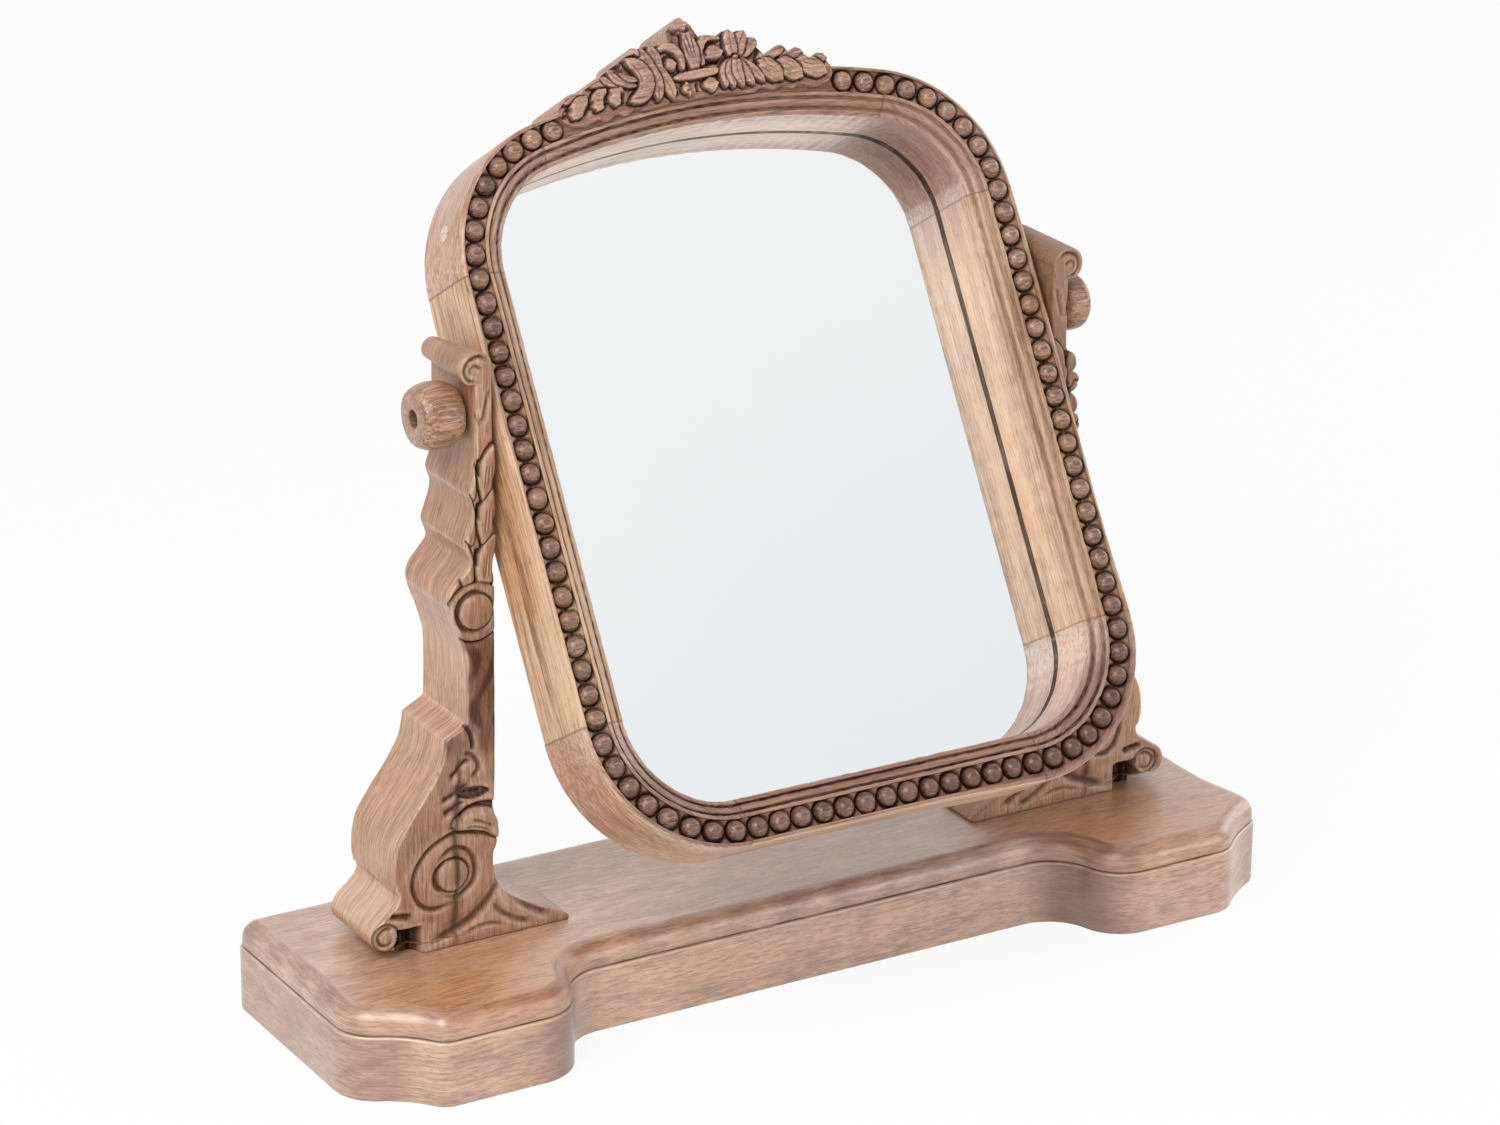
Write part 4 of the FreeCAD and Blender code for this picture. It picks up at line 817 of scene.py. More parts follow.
def carve_foot(carving):
    """Sweep of the foot leaf, and the hollow and cuts round the foot scroll."""
    groove = carving.groove
    groove([(226, 58), (214, 62), (203, 66), (193, 72), (184, 82), (178, 92)], 2.0, 2.4, 0.6, 0.6)
    groove([(179, 88), (172, 77), (161, 67), (148, 60)], 1.7, 2.0, 0.55, -0.5)
    groove([(186, 77), (181, 69), (171, 62), (160, 58)], 1.5, 1.6, 0.5, 0.4)
    groove([(204, 60), (190, 63), (178, 60.5)], 1.3, 1.1, 0.4)
    # The deep hollow beside the foot scroll is stained fully dark: painted shade in the hollow.
    hollow = band(228, 234, 244.5, 247.5, carving.x) * smoothstep(72, 68, carving.y)
    carving.height -= 9 * hollow
    carving.darken(hollow)
    carving.disc(FOOT_SCROLL[:2], 7.6, -1.0, 0.9, 0.8)
    groove([(246.6, 73), (253, 73.4), (257.4, 69.5), (255, 64), (250, 64.5), (249, 68.5)], 1.0, 1.5, 0.8)
    groove([(236, 77.5), (243, 79), (250, 80)], 1.9, 3.0)


def post_rings(x, front, low, high):
    """Rings of a post, from its front round its outer side, back and inner side, and the way round them."""
    # The back runs in from the outer arris, down a wall to the thinner toe, and along the toe to its end.
    toe = np.maximum(low + 0.06, POST_INNER - 1.5)
    across = np.linspace(0, 1, 10)[1:]
    wall = np.linspace(POST_BACK, TOE_BACK, 6)[1:]
    toe_share = np.linspace(0, 1, 5)[1:]
    back_x = np.hstack([high + (toe - high) * across, toe + 0 * wall, toe + (low - toe) * toe_share])
    back_y = np.concatenate([POST_BACK + 0 * across, wall, TOE_BACK + 0 * toe_share]) + 0 * back_x
    side_share = np.concatenate([[0.008], np.linspace(0, 1, 16)[1:]])
    outer_y = front[:, -1:] + (POST_BACK - front[:, -1:]) * side_share
    inner_y = front[:, :1] + (TOE_BACK - front[:, :1]) * side_share[-2::-1]
    ring_x = np.hstack([x, high + 0 * outer_y, back_x, low + 0 * inner_y])
    ring_y = np.hstack([front, outer_y, back_y, inner_y])
    past_back = 2 * POST_BACK - POST_FRONT + high
    around = np.hstack([x - 400, outer_y - POST_FRONT, past_back - back_x - back_y,
                        past_back - low - inner_y])
    return ring_x, ring_y, around


def post_tones(side, carving, high, ring_z):
    """Stain, wear and shade of a post: carved on its front, and with pale ridges on its sawn sides."""
    x, rows = carving.x, carving.y
    z = rows[:, :1]
    blank = np.zeros((len(z), ring_z.shape[1] - x.shape[1]))
    stain = np.maximum(np.hstack([carving.stain, blank]), 0.7 * bell(ring_z - BASE_TOP, 0.7))
    ridges = 0.6 * sum(bell(z - ridge, 1.1) for ridge in POST_RIDGES)
    # Painted highlights, carried as wear: a pale band on the flare of the foot and a pale sheen on the side
    # of the column.
    flare = 0.8 * band(66, 72, 86, 92, z) + 0.4 * bell(z - 226, 13)
    wear = np.hstack([np.maximum(carving.wear, 0.8 * bell(high - x - 0.7, 0.9)),
                      blank + np.maximum(ridges, flare)])
    wear[:, x.shape[1]] = 0.5
    tone = 0.45 + 0.55 * band(160, 176, 236, 250, rows) - 0.3 * smoothstep(335, 350, rows)
    # Painted shade on the upper post, deeper on the right post, where it darkens the stain too.
    painted_upper_shade = 0.35 * smoothstep(245, 290, z)
    if side == "right":
        tone = 0.2 * tone
        painted_upper_shade = 0.4 * smoothstep(235, 265, z)
        stain = np.maximum(stain, 0.7 * painted_upper_shade)
    return {"stain": stain, "wear": wear, "shade": np.hstack([np.maximum(tone, painted_upper_shade), blank + painted_upper_shade])}


def make_post(side):
    """A carved post: rows of closed rings with a dense, carved front and plain sawn sides."""
    foot_top, arris = 110, 1.6
    outer_at, inner_at, shift = post_edges(side)
    z = np.concatenate([np.linspace(BASE_TOP, foot_top, 120)[:-1], np.linspace(foot_top, POST_TOP, 520)])
    # Places across the front lie closer together towards its edges.
    crowded = -np.cos(math.pi * np.linspace(0.12, 0.88, 80))
    share = (crowded - crowded[0]) / (crowded[-1] - crowded[0])
    low, high = inner_at(z)[:, None], outer_at(z)[:, None]
    x = low + (high - low) * share
    rows = np.broadcast_to(z[:, None], x.shape)
    carving = carve_post(x - 0.6 * shift(rows), rows)
    carving.x = x
    front = POST_FRONT - carving.height + arris_drop(np.minimum(x - low, high - x), arris)
    ring_x, ring_y, around = post_rings(x, front, low, high)
    ring_z = np.broadcast_to(z[:, None], ring_x.shape)
    # Streaks run up each face, so the place across the grain is measured round the post.
    grain = np.stack([ring_z + 40 * SIDES[side], around, 0.4 * ring_y], -1)
    # The left post's top scroll tapers and sinks towards the back.
    scroll_x, scroll_z, scroll_radius = SCROLL
    if side == "left":
        taper = smoothstep(scroll_z - 1.7 * scroll_radius, scroll_z - 0.8 * scroll_radius, ring_z)
        taper = taper * np.clip((ring_y - POST_FRONT) / (POST_BACK - POST_FRONT), 0, 1)
        ring_x = ring_x + 0.36 * taper * (scroll_x - ring_x)
        ring_z = ring_z + taper * (0.36 * (scroll_z - ring_z) - 3)
    points = np.stack([ring_x * SIDES[side], ring_y, ring_z], -1)
    new_piece(f"{side}_post_carved", points, ring_faces(*ring_x.shape), "base", "post_wood", FINISHES["post"],
              [f"{side}_post"], sharp=50, grain=grain, **post_tones(side, carving, high, ring_z))


def bead_line(distance):
    """A place on the bead row by its distance from the bottom middle up one side: outwards and up."""
    corner = CORNER_RADIUS * math.pi / 2
    stile = STILE_RISE + STILE_DROP
    if distance < CORNER_CENTRE:
        return distance, -STILE_DROP - CORNER_RADIUS
    distance -= CORNER_CENTRE
    if distance < corner:
        angle = distance / CORNER_RADIUS
        return CORNER_CENTRE + CORNER_RADIUS * math.sin(angle), -STILE_DROP - CORNER_RADIUS * math.cos(angle)
    distance -= corner
    if distance < stile:
        return BEAD_HALF_WIDTH, -STILE_DROP + distance
    distance -= stile
    top_corner = CORNER_RADIUS * (math.pi / 2 - ARCH_ANGLE)
    if distance < top_corner:
        angle = distance / CORNER_RADIUS
        return CORNER_CENTRE + CORNER_RADIUS * math.cos(angle), STILE_RISE + CORNER_RADIUS * math.sin(angle)
    angle = ARCH_ANGLE - (distance - top_corner) / ARCH_RADIUS
    return ARCH_RADIUS * math.sin(angle), ARCH_RADIUS * math.cos(angle) - ARCH_DROP


def bead_places():
    """Middles of the beads, from the left end of the crest round to its right end."""
    crest_angle = math.asin(CREST_HALF / ARCH_RADIUS)
    plain_run = (CORNER_CENTRE + STILE_RISE + STILE_DROP + CORNER_RADIUS * (math.pi - ARCH_ANGLE)
                 + ARCH_RADIUS * (ARCH_ANGLE - crest_angle))
    left_row = plain_run - ARCH_RADIUS * CREST_TURN
    row = 2 * plain_run
    count = round(row / BEAD_PITCH)
    places = []
    for index in range(count):
        distance = (index + 0.5) * row / count - left_row
        u, v = bead_line(abs(distance))
        places.append((math.copysign(u, distance), v))
    return np.array(places)


BEADS = bead_places()


def make_beads():
    """Hand-cut beads, each a little different, with stain at the foot of each."""
    rng = np.random.default_rng(7)
    turns = np.linspace(0, 2 * math.pi, 28, endpoint=False)
    rises = np.linspace(-0.2, 1.5, 11)
    rise, turn = np.meshgrid(rises, turns, indexing="ij")
    middle = CHANNEL_FLOOR + BEAD_LIFT
    points, faces, stain, shade, grain = [], [], [], [], []
    for order, (u, v) in enumerate(BEADS):
        radius = BEAD_RADIUS * rng.uniform(0.95, 1.02)
        wobble = rng.uniform(-0.22, 0.22, 2)
        phase = rng.uniform(0, 2 * math.pi, 2)
        lean_u, lean_v = rng.uniform(-0.35, 0.35, 2)
        uneven = 0.022 * np.sin(2 * turn + phase[0]) + 0.015 * np.sin(3 * turn + phase[1])
        out = radius * np.cos(rise) * (1 + uneven)
        up = middle + radius * np.sin(rise) * (1 + 0.03 * wobble[0])
        worn_flat = middle + radius * rng.uniform(0.93, 0.98)
        worn_flat = worn_flat + 0.25 * np.sin(2 * turn + phase[1]) * np.cos(rise)
        across, along = out * np.cos(turn), out * np.sin(turn)
        points.append(leaning(u + lean_u + across, v + lean_v + along, np.minimum(up, worn_flat)))
        start = order * up.size
        faces += [[start + corner for corner in face] for face in ring_faces(*up.shape)]
        stain.append(np.clip(1.25 - (up - CHANNEL_FLOOR) / 2.6, 0, 1))
        low_dusk = smoothstep(-120, -235, v) * (0.5 + 0.5 * smoothstep(-100, 100, u))
        shade.append(np.full(up.shape, max(low_dusk, 0.4 * smoothstep(-120, -160, u))))
        grain.append(np.stack([across + 31 * u, along + 17 * v, up], -1))
    new_piece("pearl_beads", points, faces, "mirror", "bead_wood", FINISHES["bead"], ["pearl_beading"],
              sharp=60, stain=stain, shade=shade, grain=grain)


def frame_members():
    """The members of the frame: a line to follow, its outward way, and the way its grain runs."""
    members = {}
    ends = (("top", STILE_RISE, 1, math.pi / 2 - ARCH_ANGLE, 100, 35),
            ("bottom", -STILE_DROP, -1, math.pi / 2, 115, -40))
    for side, sign in SIDES.items():
        v = np.arange(-STILE_DROP, STILE_RISE + 0.5, 1.0)
        ones = np.ones_like(v)
        members[f"{side}_stile"] = (sign * BEAD_HALF_WIDTH * ones, v, sign * ones, 0 * ones, 90)
        for end, start, rise, sweep, count, turn in ends:
            a = np.linspace(0, sweep, count)
            members[f"{end}_{side}_corner"] = (sign * (CORNER_CENTRE + CORNER_RADIUS * np.cos(a)),
                                               start + rise * CORNER_RADIUS * np.sin(a),
                                               sign * np.cos(a), rise * np.sin(a), 90 + turn * sign)
    a = np.linspace(-ARCH_ANGLE, ARCH_ANGLE, 228)
    members["top_rail"] = (ARCH_RADIUS * np.sin(a), ARCH_RADIUS * np.cos(a) - ARCH_DROP,
                           np.sin(a), np.cos(a), 0)
    u = np.linspace(-CORNER_CENTRE, CORNER_CENTRE, 193)
    members["bottom_rail"] = (u, 0 * u - STILE_DROP - CORNER_RADIUS, 0 * u, 0 * u - 1, 0)
    return members


def hand_cut(shape, u, v, along):
    """The section along a member, with a rim and a lip of uneven width, and how far its cut lines stray."""
    rim = shape[:, 0] > CHANNEL_HALF + 0.2
    lines = (shape[:, 0] < -CHANNEL_HALF - 0.1) & (shape[:, 1] > 8)
    nicks = rim & (shape[:, 1] > 17)
    top_rim = 1.4 * smoothstep(40, 165, v) * smoothstep(90, 20, u)
    side_rim = 1.2 * smoothstep(90, 20, np.abs(v))
    low_rim = 2.4 * smoothstep(-120, -220, v) * smoothstep(20, 110, u)
    left_lip = 1.6 * smoothstep(-110, -160, u)
    lip_share = np.clip((-11 - shape[:, 0]) / 7, 0, 1)
    stray = lines * np.stack([wander(4 * along, 40 + step, 6) for step in range(len(shape))], 1)
    w = shape[:, 0] - rim * (top_rim - side_rim - low_rim)[:, None] - left_lip[:, None] * lip_share
    w += 0.5 * stray - 0.5 * nicks * np.clip(wander(9 * along, 31, 8), 0, 1)[:, None]
    return w, shape[:, 1] + 0.4 * stray, lines, stray


def make_member(order, name, u, v, out_u, out_v, grain_turn):
    """A member of the frame: the section carried along its line, with the channel cut round each bead."""
    floor = [(w, CHANNEL_FLOOR, 1.0, 0) for w in np.linspace(CHANNEL_HALF, -CHANNEL_HALF, 13)]
    shape = np.array([*OUTER_SECTION, *floor, *INNER_SECTION])
    w, n, lines, stray = hand_cut(shape, u, v, way_along(u, v) + 400 * order)
    across = u[:, None] + out_u[:, None] * w
    up = v[:, None] + out_v[:, None] * w
    nearest = np.full(w.shape, np.inf)
    for bead_u, bead_v in BEADS:
        nearest = np.minimum(nearest, np.hypot(across - bead_u, up - bead_v))
    # Between the beads the channel is raised, and under the crest it is filled.
    channel = (np.abs(w) < CHANNEL_HALF + 0.01) & (shape[:, 1] > 0)
    raised = smoothstep(6.4, 7.6, nearest)
    under_crest = (np.abs(across + CREST_SHIFT) < CREST_HALF - 4) & (up > STILE_RISE + CORNER_RADIUS / 2)
    filled = CHANNEL_FLOOR + (RIM_LEVEL - 1.0 - CHANNEL_FLOOR) * np.where(under_crest, 0.95, 0.85 * raised)
    n = np.where(channel, np.maximum(n, filled), n)
    # Stain in the channel, in the cut lines and at the joints.
    cuts = 0.15 + 0.6 * bell(w + 1.6, 0.6) + 0.5 * bell(w + 4.8, 0.6)
    stain = np.where(channel, shape[:, 2] * np.where(under_crest, cuts, 1 - 0.7 * raised), shape[:, 2])
    cut_depth = 0.3 + 0.6 * smoothstep(120, -60, u) + 0.6 * smoothstep(-180, -240, v)
    stain = np.where(lines, np.clip(stain * cut_depth[:, None] * (0.9 + 1.2 * stray), 0, 1), stain)
    stain[[0, -1]] = np.maximum(stain[[0, -1]], 0.55)
    # Shade on the front, most of all below; painted shade in the top right of the wall around the glass.
    front = smoothstep(8, 12, shape[:, 1]) * (shape[:, 0] < LIP - 0.5)
    tone = 0.3 + 0.2 * smoothstep(-100, 100, u) + 0.9 * smoothstep(-190, -245, v)
    tone = tone + 0.5 * smoothstep(100, 150, v)
    painted_corner_shade = 0.85 * smoothstep(60, 140, u) * smoothstep(10, 105, v)
    shade = np.maximum(front * tone[:, None], painted_corner_shade[:, None] * (w < -CHANNEL_HALF))
    wobble = 0.18 * wander(u + 2 * v + 50 * order, order)
    across = across + (out_u * wobble)[:, None]
    up = up + (out_v * wobble)[:, None]
    turn = math.radians(grain_turn)
    grain = np.stack([across * math.cos(turn) + up * math.sin(turn) + 300 * order,
                      up * math.cos(turn) - across * math.sin(turn) + 70 * order, n], -1)
    finish = FINISHES["corner" if "corner" in name else "frame"]
    new_piece(f"{name}_moulded", leaning(across, up, n), ring_faces(*w.shape), "mirror", "frame_wood",
              finish, [name], stain=stain, wear=np.broadcast_to(shape[:, 3], w.shape),
              shade=shade, grain=grain)


def carve_crest(u, v):
    """Relief of the crest's front: dome, tongue, scrolls and bar, then the leaves to the right and left."""
    carving = Carving(u, v)
    groove, leaf = carving.groove, carving.leaf
    carving.height -= 2.2
    carving.stain += 0.12
    # Scroll bands with their bosses, on each side of the tongue.
    leaf([(6.2, 166.5), (7.6, 174), (10.5, 179.6), (15, 180.8), (20.5, 178.8)], 2.8, -0.2, 1.4, 0, 0.95)
    leaf([(11, 170.8), (20, 171.3)], 4.8, -1.0, 2.4)
    groove([(9.2, 168), (10, 174), (13, 177.2), (18, 177.6), (20.5, 175)], 0.9, 1.8)
    groove([(8.5, 165.6), (13.5, 166.6), (19, 166)], 1.6, 2.0)
    leaf([(-7.2, 165.5), (-6.6, 171.5), (-9.5, 177.2), (-15.5, 179), (-21, 176.4)], 2.9, -0.2, 1.4, 0, 0.95)
    leaf([(-15.8, 168.2), (-11.2, 168.6)], 4.4, -1.0, 2.4)
    groove([(-17.8, 166), (-17.2, 171.5), (-14, 173.9), (-9.8, 172.4), (-8.2, 166)], 0.9, 1.8)
    # Tongue and dome.
    leaf([(0.8, 164.6), (1.5, 175), (0.5, 186)], 5.0, -0.4, 1.6)
    for top, foot in ((-2.4, -0.6), (0.6, 1.2), (3.6, 2.8)):
        groove([(top, 185), (foot, 171)], 0.7, 1.0, 0.75)
    leaf([(-2.4, 190), (1, 190.2)], 8, 0.1, 1.6, 0, 0.3)
    groove([(-6.6, 185.4), (-4, 187), (-1, 185.8), (2, 186), (4, 187.4), (6.2, 187.6)], 0.8, 1.6)
    # Bar with the berries under it.
    leaf([(-8, 153.3), (-6.2, 153.4)], 4.9, -1.4, 3.4)
    groove([(-8.6, 154.6), (-7, 155), (-6, 153.4), (-7.4, 152), (-9, 152.8)], 0.7, 1.2, 0.9)
    leaf([(5.6, 153.7), (11.4, 153.5)], 4.8, -1.4, 3.4)
    for gap in (-13.4, 0, 15.6):
        groove([(gap, 150.6), (gap + 0.4, 156.4)], 1.3, 2.0)
    leaf([(-14.5, 160.4), (16.5, 161)], 2.8, -0.2, 1.0, blunt=True)
    carve_spray(carving)
    carve_bundle(carving)
    carve_swirl(carving)
    carving.weather(8, 0.4)
    # Tool marks.
    carving.height += 0.22 * np.sin(u * 1.9 + 2 * np.sin(v / 3)) * np.sin(v * 1.3)
    return carving


def carve_spray(carving):
    """Leaf spray at the right: three tips along the top, and three scale leaves that overlap outwards."""
    for line in ([(71, 157.4), (79, 160.4), (86.6, 158.6)], [(56, 160.6), (65, 164.4), (72.6, 164.4)],
                 [(41, 162), (51.6, 166.6), (60, 168)]):
        carving.leaf(line, 4.2, -0.6, 1.8, 0.5, 0.9, True)
    for line in ([(66, 159), (74.5, 154.6), (82, 149.6)], [(54, 160.4), (60.5, 155.2), (66, 149.6)],
                 [(42, 162), (48, 156.6), (53, 150)]):
        carving.leaf(line, 6.0, -0.4, 2.0, blunt=True)
        for shift in (-2.2, 0.2, 2.4):
            vein = np.array(line[:2]) + [(3, -2), (1, 0)] + shift
            carving.groove(vein, 0.5, 0.6, 0.5)


def carve_bundle(carving):
    """Bundle of leaves right of the middle: three up, five down, tied by a knot."""
    for line in ([(31, 167), (38, 172), (43.6, 175)], [(29, 167), (33, 175), (37.4, 180.6)],
                 [(26.2, 166.6), (26.8, 175.6), (27.8, 182.6)]):
        carving.leaf(line, 4.2, -0.2, 1.8, 0.7, 0.95, True)
    knot = (27.6, 166)
    for middle, tip in (((37, 157), (41.4, 150.4)), ((19, 160), (16.8, 150.8)), ((31, 157.4), (34.4, 149.8)),
                        ((22.4, 159.6), (21.6, 150)), ((26.4, 158), (27.6, 149.6))):
        carving.leaf([knot, middle, tip], 3.6, 0.1, 1.8, 0.6, 0.9)
    carving.groove([(24.4, 167.6), (28, 165.6), (32, 167.4)], 0.8, 1.4, 0.9)


def carve_swirl(carving):
    """Left half: leaves that run to the end, strands that fan out below a pit, leaves that curl down."""
    for line in ([(-71, 159.8), (-79, 161.6), (-87, 158.5)], [(-56, 165), (-61, 167.3), (-68, 165.8)]):
        carving.leaf(line, 3.4, -0.8, 1.8, 0.5, 0.9, True)
    for line in ([(-72, 160), (-78, 154), (-82.7, 147.5)], [(-59, 162), (-64, 156.4), (-66.7, 150)],
                 [(-49, 162.6), (-53, 156.8), (-54.7, 151)]):
        carving.leaf(line, 4.8, -0.6, 2.0, blunt=True)
    for line in ([(-82, 155), (-85.2, 152), (-88, 148.7)], [(-67, 157), (-71.2, 153.3), (-75.2, 149)],
                 [(-55, 160.4), (-59.6, 157), (-60.7, 151)], [(-47.6, 158.7), (-49, 155), (-48.5, 151.2)]):
        carving.groove(line, 1.5, 2.6)
    for line, width in (([(-59, 170), (-56, 166), (-50.5, 162.5)], 2.4),
                        ([(-53.4, 172.5), (-50.6, 167), (-44, 162.4), (-39, 160.2)], 2.8),
                        ([(-46.4, 168.8), (-42.5, 165.5), (-37, 163)], 2.2)):
        carving.leaf(line, width, -0.2, 1.4, 0.4)
    carving.groove([(-51.4, 173.4), (-47.3, 174.8), (-43, 173.2)], 2.0, 4.0)
    carving.groove([(-50, 171.2), (-46.4, 172), (-42.4, 171)], 1.2, 2.0, 0.9)
    for shift in (0, 2.4, 4.8):
        drop = 0.6 * shift
        carving.groove([(-47.4 + shift, 171 - drop), (-45 + shift, 168.4 - drop)], 0.5, 0.9, 0.8)
    carving.leaf([(-24.7, 181), (-22.8, 175), (-23, 168), (-20.5, 161.5), (-18.3, 155.4), (-18, 149.2)],
                 4.5, -0.4, 1.8, 0.4, blunt=True)
    carving.leaf([(-31, 180.4), (-29.2, 174.2), (-27.5, 168), (-25.8, 162), (-26, 155.7), (-27.4, 149.6)],
                 4.2, 0, 1.8, 0.4, blunt=True)
    carving.leaf([(-41.8, 176.6), (-37, 173), (-33, 168), (-31.6, 162), (-33.7, 157), (-38, 153.4),
                  (-45, 151.5)], 4.8, 0.3, 2.0, blunt=True)
    carving.leaf([(-38.7, 179.4), (-34.7, 180.4), (-32.6, 177)], 2.2, 0.4, 1.2)
    carving.groove([(-40, 174), (-36, 168.6), (-35, 162), (-37.4, 157)], 0.6, 0.7, 0.5)


def make_crest():
    """Carved crest: columns of closed rings with a dense carved front, on the arch of the top rail."""
    u = np.linspace(-CREST_HALF, CREST_HALF, 500)[:, None]
    half = np.abs(u)
    sag = -2.2 * smoothstep(-10, -60, u)
    tops = [np.interp(half, *np.transpose(line)) for line in (CREST_LEFT, CREST_RIGHT)]
    top = np.where(u < 0, *tops)
    low = np.interp(half, *smooth_line(CREST_LOWER).T) + 0.3 * sag - 1.8
    top = np.maximum(top + sag, low + 1.5)
    share = np.linspace(0, 1, 96)
    v = low + (top - low) * share
    carving = carve_crest(np.broadcast_to(u, v.shape), v - sag * share)
    arris = 1.6 + 2.6 * bell(u, 9)
    front = CREST_FRONT + carving.height - arris_drop(np.minimum(v - low, top - v), arris)
    rail = np.sqrt((ARCH_RADIUS + LIP - 1.4) ** 2 - u ** 2) - ARCH_DROP
    rail = np.minimum(rail, top - 0.5)
    top_n = front[:, -1:] + (CREST_BACK - front[:, -1:]) * np.linspace(0, 1, 14)[1:]
    ring_n = np.hstack([front, top_n, 0 * u + CREST_BACK, 0 * u + CREST_SEAT, 0 * u + CREST_SEAT])
    ring_v = np.hstack([v, top + 0 * top_n, rail, rail, low])
    ring_u = np.broadcast_to(u, ring_v.shape)
    turned_u = ring_u * math.cos(CREST_TURN) - (ring_v + ARCH_DROP) * math.sin(CREST_TURN)
    turned_v = ring_u * math.sin(CREST_TURN) + (ring_v + ARCH_DROP) * math.cos(CREST_TURN) - ARCH_DROP
    blank = np.zeros((len(u), ring_v.shape[1] - v.shape[1]))
    stain = np.hstack([carving.stain, blank])
    wear = np.hstack([np.maximum(carving.wear, 0.25 * np.clip(carving.height + 0.6, 0, 1)), blank + 0.45])
    new_piece("crest_carved", leaning(turned_u, turned_v, ring_n), ring_faces(*ring_v.shape), "mirror",
              "carved_wood", FINISHES["crest"], ["crest"], sharp=55, stain=stain, wear=wear,
              grain=np.stack([ring_u, ring_v, ring_n], -1))


def knob_outline(length, radius, fall, power):
    """Half section of a knob, round from its bolt hole: distance from the pivot line and place along it."""
    outer = KNOB_INNER + length
    seat = KNOB_INNER + KNOB_SEAT
    half = (length - KNOB_NECK) / 2
    outline = [(5.5, KNOB_INNER), (10, KNOB_INNER), (10, KNOB_INNER + KNOB_NECK - 0.6),
               (13.6, KNOB_INNER + KNOB_NECK)]
    for share in np.linspace(-1, 1, 60):
        turning_marks = 0.07 * math.sin(60 * share)
        bulge = radius * (1 - fall * abs(share) ** power) + turning_marks
        outline.append((bulge, KNOB_INNER + KNOB_NECK + half + share * (half - 0.4)))
    outline += [
        (radius * (1 - fall) - 1, outer), (8, outer + 0.2), (6.2, outer + 0.25), (KNOB_HOLE + 0.3, outer),
        (KNOB_HOLE, outer - 0.8), (KNOB_HOLE, seat), (BOLT_HOLE, seat), (BOLT_HOLE, KNOB_INNER),
    ]
    return np.array(outline)


def make_knob(side):
    """Turned knob: a barrel with fine turning marks and a hole for the bolt head; the right is smaller."""
    reach, place = knob_outline(*KNOBS[side]).T
    angle = np.linspace(0, 2 * math.pi, 72, endpoint=False)[:, None]
    points = np.stack([place * SIDES[side] + 0 * angle, PIVOT_Y + reach * np.cos(angle),
                       PIVOT_Z + reach * np.sin(angle)], -1)
    # Painted shade in the bolt hole: its wall and seat are stained dark.
    dark = 0.9 * np.clip((KNOB_HOLE + 1 - reach) / 1.5, 0, 1) + 0 * angle
    new_piece(f"{side}_knob_turned", points, ring_faces(*dark.shape, closed=True), f"{side}_knob",
              "knob_wood", FINISHES["knob"], [f"{side}_knob"], stain=dark, grain=points)


def finish_nodes():
    """Finishes of the CAD nodes that stay as they are."""
    choices = {
        "steel": plain("plain_steel", (150, 148, 144), (96, 92, 88), 0.32, 1.0),
        "brass": plain("plain_brass", (196, 164, 96), (150, 118, 60), 0.3, 1.0),
        "leather": plain("dark_leather", (74, 52, 40), (46, 32, 25), 0.6, 0.0, 500, 0.4),
        "panel_wood": FINISHES["panel"],
        "dowel_wood": FINISHES["dowel"],
        "mirror": painted_reflection_mirror(),
    }
    for row in frame["record"]["subparts"]:
        if row["material_slot"] in choices:
            node = frame["nodes"][row["node"]]
            node.data.materials.clear()
            node.data.materials.append(choices[row["material_slot"]])


def make_floor():
    """Pale floor that is white to the camera and keeps a soft shadow."""
    reach = 9000 * MM
    corners = [(-reach, -reach, 0), (reach, -reach, 0), (reach, reach, 0), (-reach, reach, 0)]
    mesh = bpy.data.meshes.new("floor")
    mesh.from_pydata(corners, [], [(0, 1, 2, 3)])
    floor = bpy.data.objects.new("floor", mesh)
    bpy.context.scene.collection.objects.link(floor)
    finish = Finish("pale_floor")
    finish.surface(Base_Color=(0.96, 0.96, 0.96, 1), Roughness=0.9)
    white = finish.node("ShaderNodeEmission", Color=(1, 1, 1, 1), Strength=1.0)
    both = finish.node("ShaderNodeMixShader", Fac=finish.math("MULTIPLY", finish.seen(), 0.9))
    finish.put(both.inputs[1], finish.shader.outputs[0])
    finish.put(both.inputs[2], white.outputs[0])
    finish.put(finish.tree.nodes["Material Output"].inputs["Surface"], both.outputs[0])
    mesh.materials.append(finish.material)


# Disc lamps: place, diameter and power.
LAMPS = {
    "key": ((-1750, -1150, 2150), 2000, 54),
    "fill": ((2300, 100, 900), 1500, 10),
    "front": ((1500, -2100, 620), 1000, 7),
}
LAMP_AIM = (0, 0, 250)


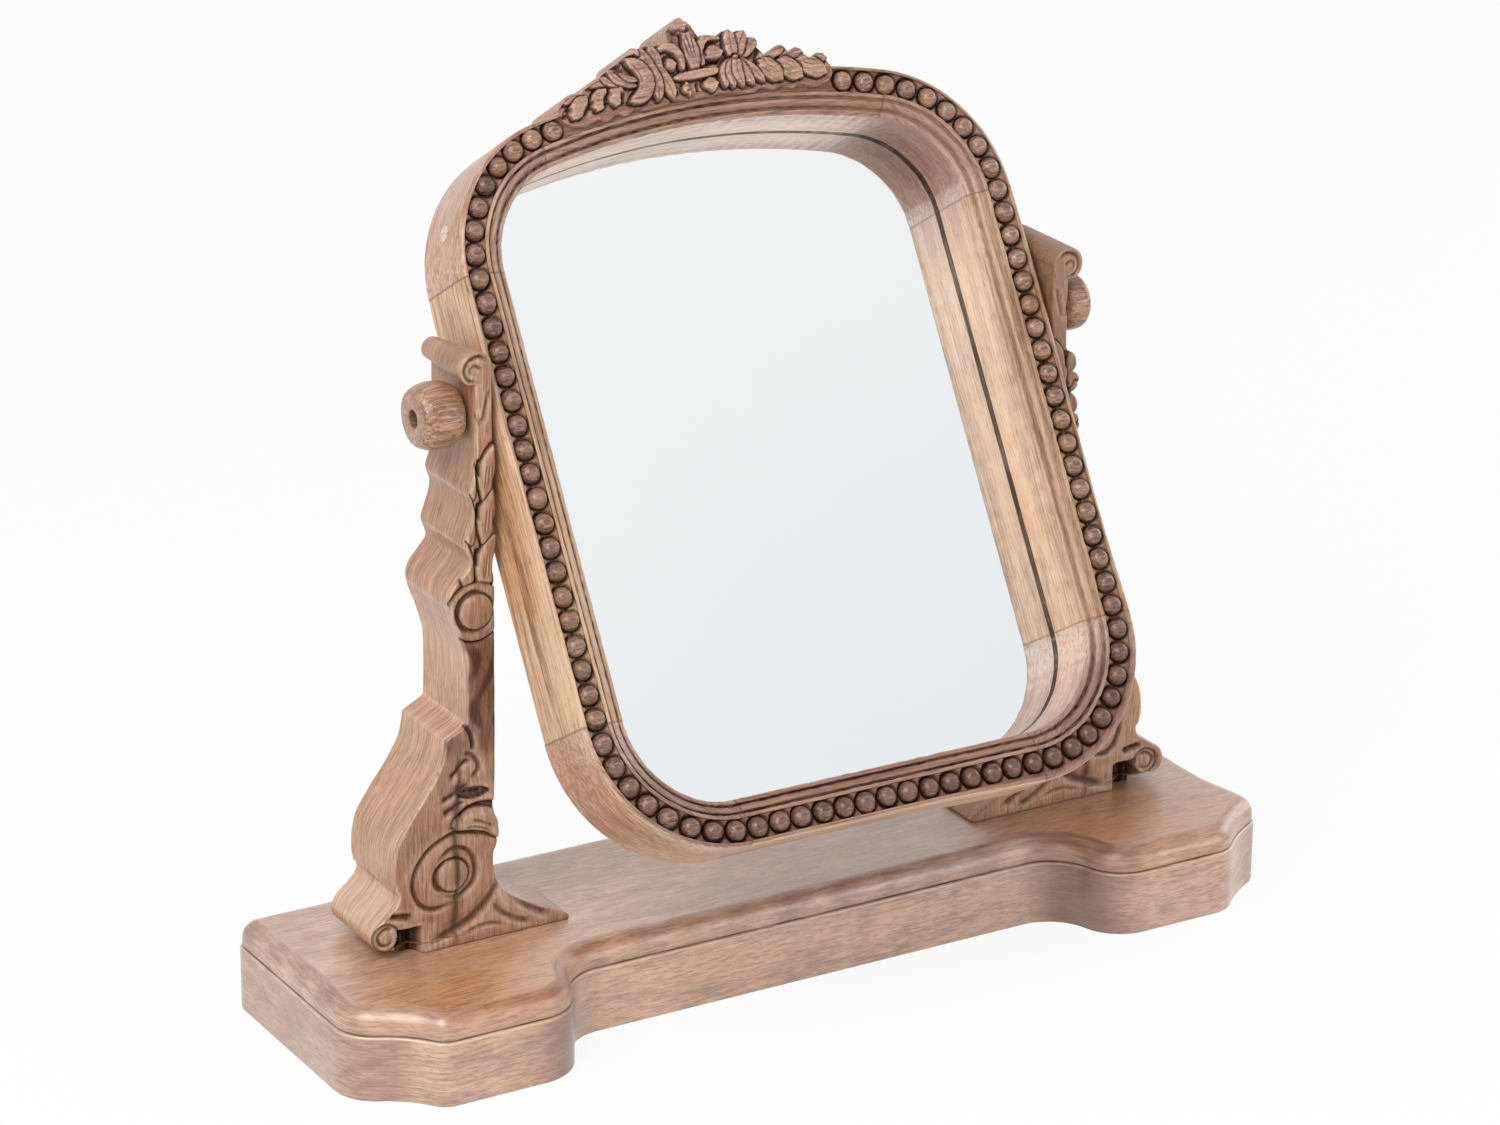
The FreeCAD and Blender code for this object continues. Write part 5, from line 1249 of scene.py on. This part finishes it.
def make_light():
    """White surroundings, a large soft key from the front left, and weaker lamps right and in front."""
    world = bpy.data.worlds.new("studio")
    bpy.context.scene.world = world
    world.use_nodes = True
    nodes = Nodes(world.node_tree)
    background = world.node_tree.nodes["Background"]
    nodes.fill(background, {"Color": (1, 1, 1, 1), "Strength": nodes.level(nodes.seen(), 0.0, 1.0, 1.0, 0.5)})
    for name, (place, size, power) in LAMPS.items():
        lamp = bpy.data.lights.new(name, "AREA")
        lamp.shape = "DISK"
        lamp.size = size * MM
        lamp.energy = power
        way = np.array(place) - LAMP_AIM
        way = way / np.linalg.norm(way)
        side = np.cross((0, 0, 1), way)
        side /= np.linalg.norm(side)
        set_up(name, lamp, np.array(place), side, np.cross(way, side), way)


def set_up(name, data, place, right, up, back):
    """A lamp or a camera at a place, turned to its own right, up and back."""
    turn = Matrix(np.column_stack([right, up, back]).tolist())
    holder = bpy.data.objects.new(name, data)
    bpy.context.scene.collection.objects.link(holder)
    holder.matrix_world = Matrix.Translation(place * MM) @ turn.to_4x4()
    return holder


def make_camera():
    """Camera at the photograph's place: heading, height, slight roll and long lens."""
    heading, height, roll = (math.radians(angle) for angle in (-30.84, 21.02, 0.62))
    distance = 2892.62
    aim = np.array((0, -7.25, 250))
    offset_right, offset_up = -16.67, -4.37
    right = np.array((math.cos(heading), math.sin(heading), 0))
    back = np.array((math.sin(heading) * math.cos(height), -math.cos(heading) * math.cos(height),
                     math.sin(height)))
    up = np.cross(back, right)
    aim = aim + offset_right * right + offset_up * up
    rolled_right = right * math.cos(roll) + up * math.sin(roll)
    rolled_up = up * math.cos(roll) - right * math.sin(roll)
    camera = bpy.data.cameras.new("camera")
    camera.lens = 122.34
    camera.clip_end = 50
    bpy.context.scene.camera = set_up("camera", camera, aim + back * distance, rolled_right, rolled_up, back)


make_base()
for side in SIDES:
    make_post(side)
    make_knob(side)
for order, (name, member) in enumerate(frame_members().items()):
    make_member(order, name, *member)
make_beads()
make_crest()
finish_nodes()
make_floor()
make_light()
make_camera()
bpy.context.scene.view_settings.view_transform = "Standard"
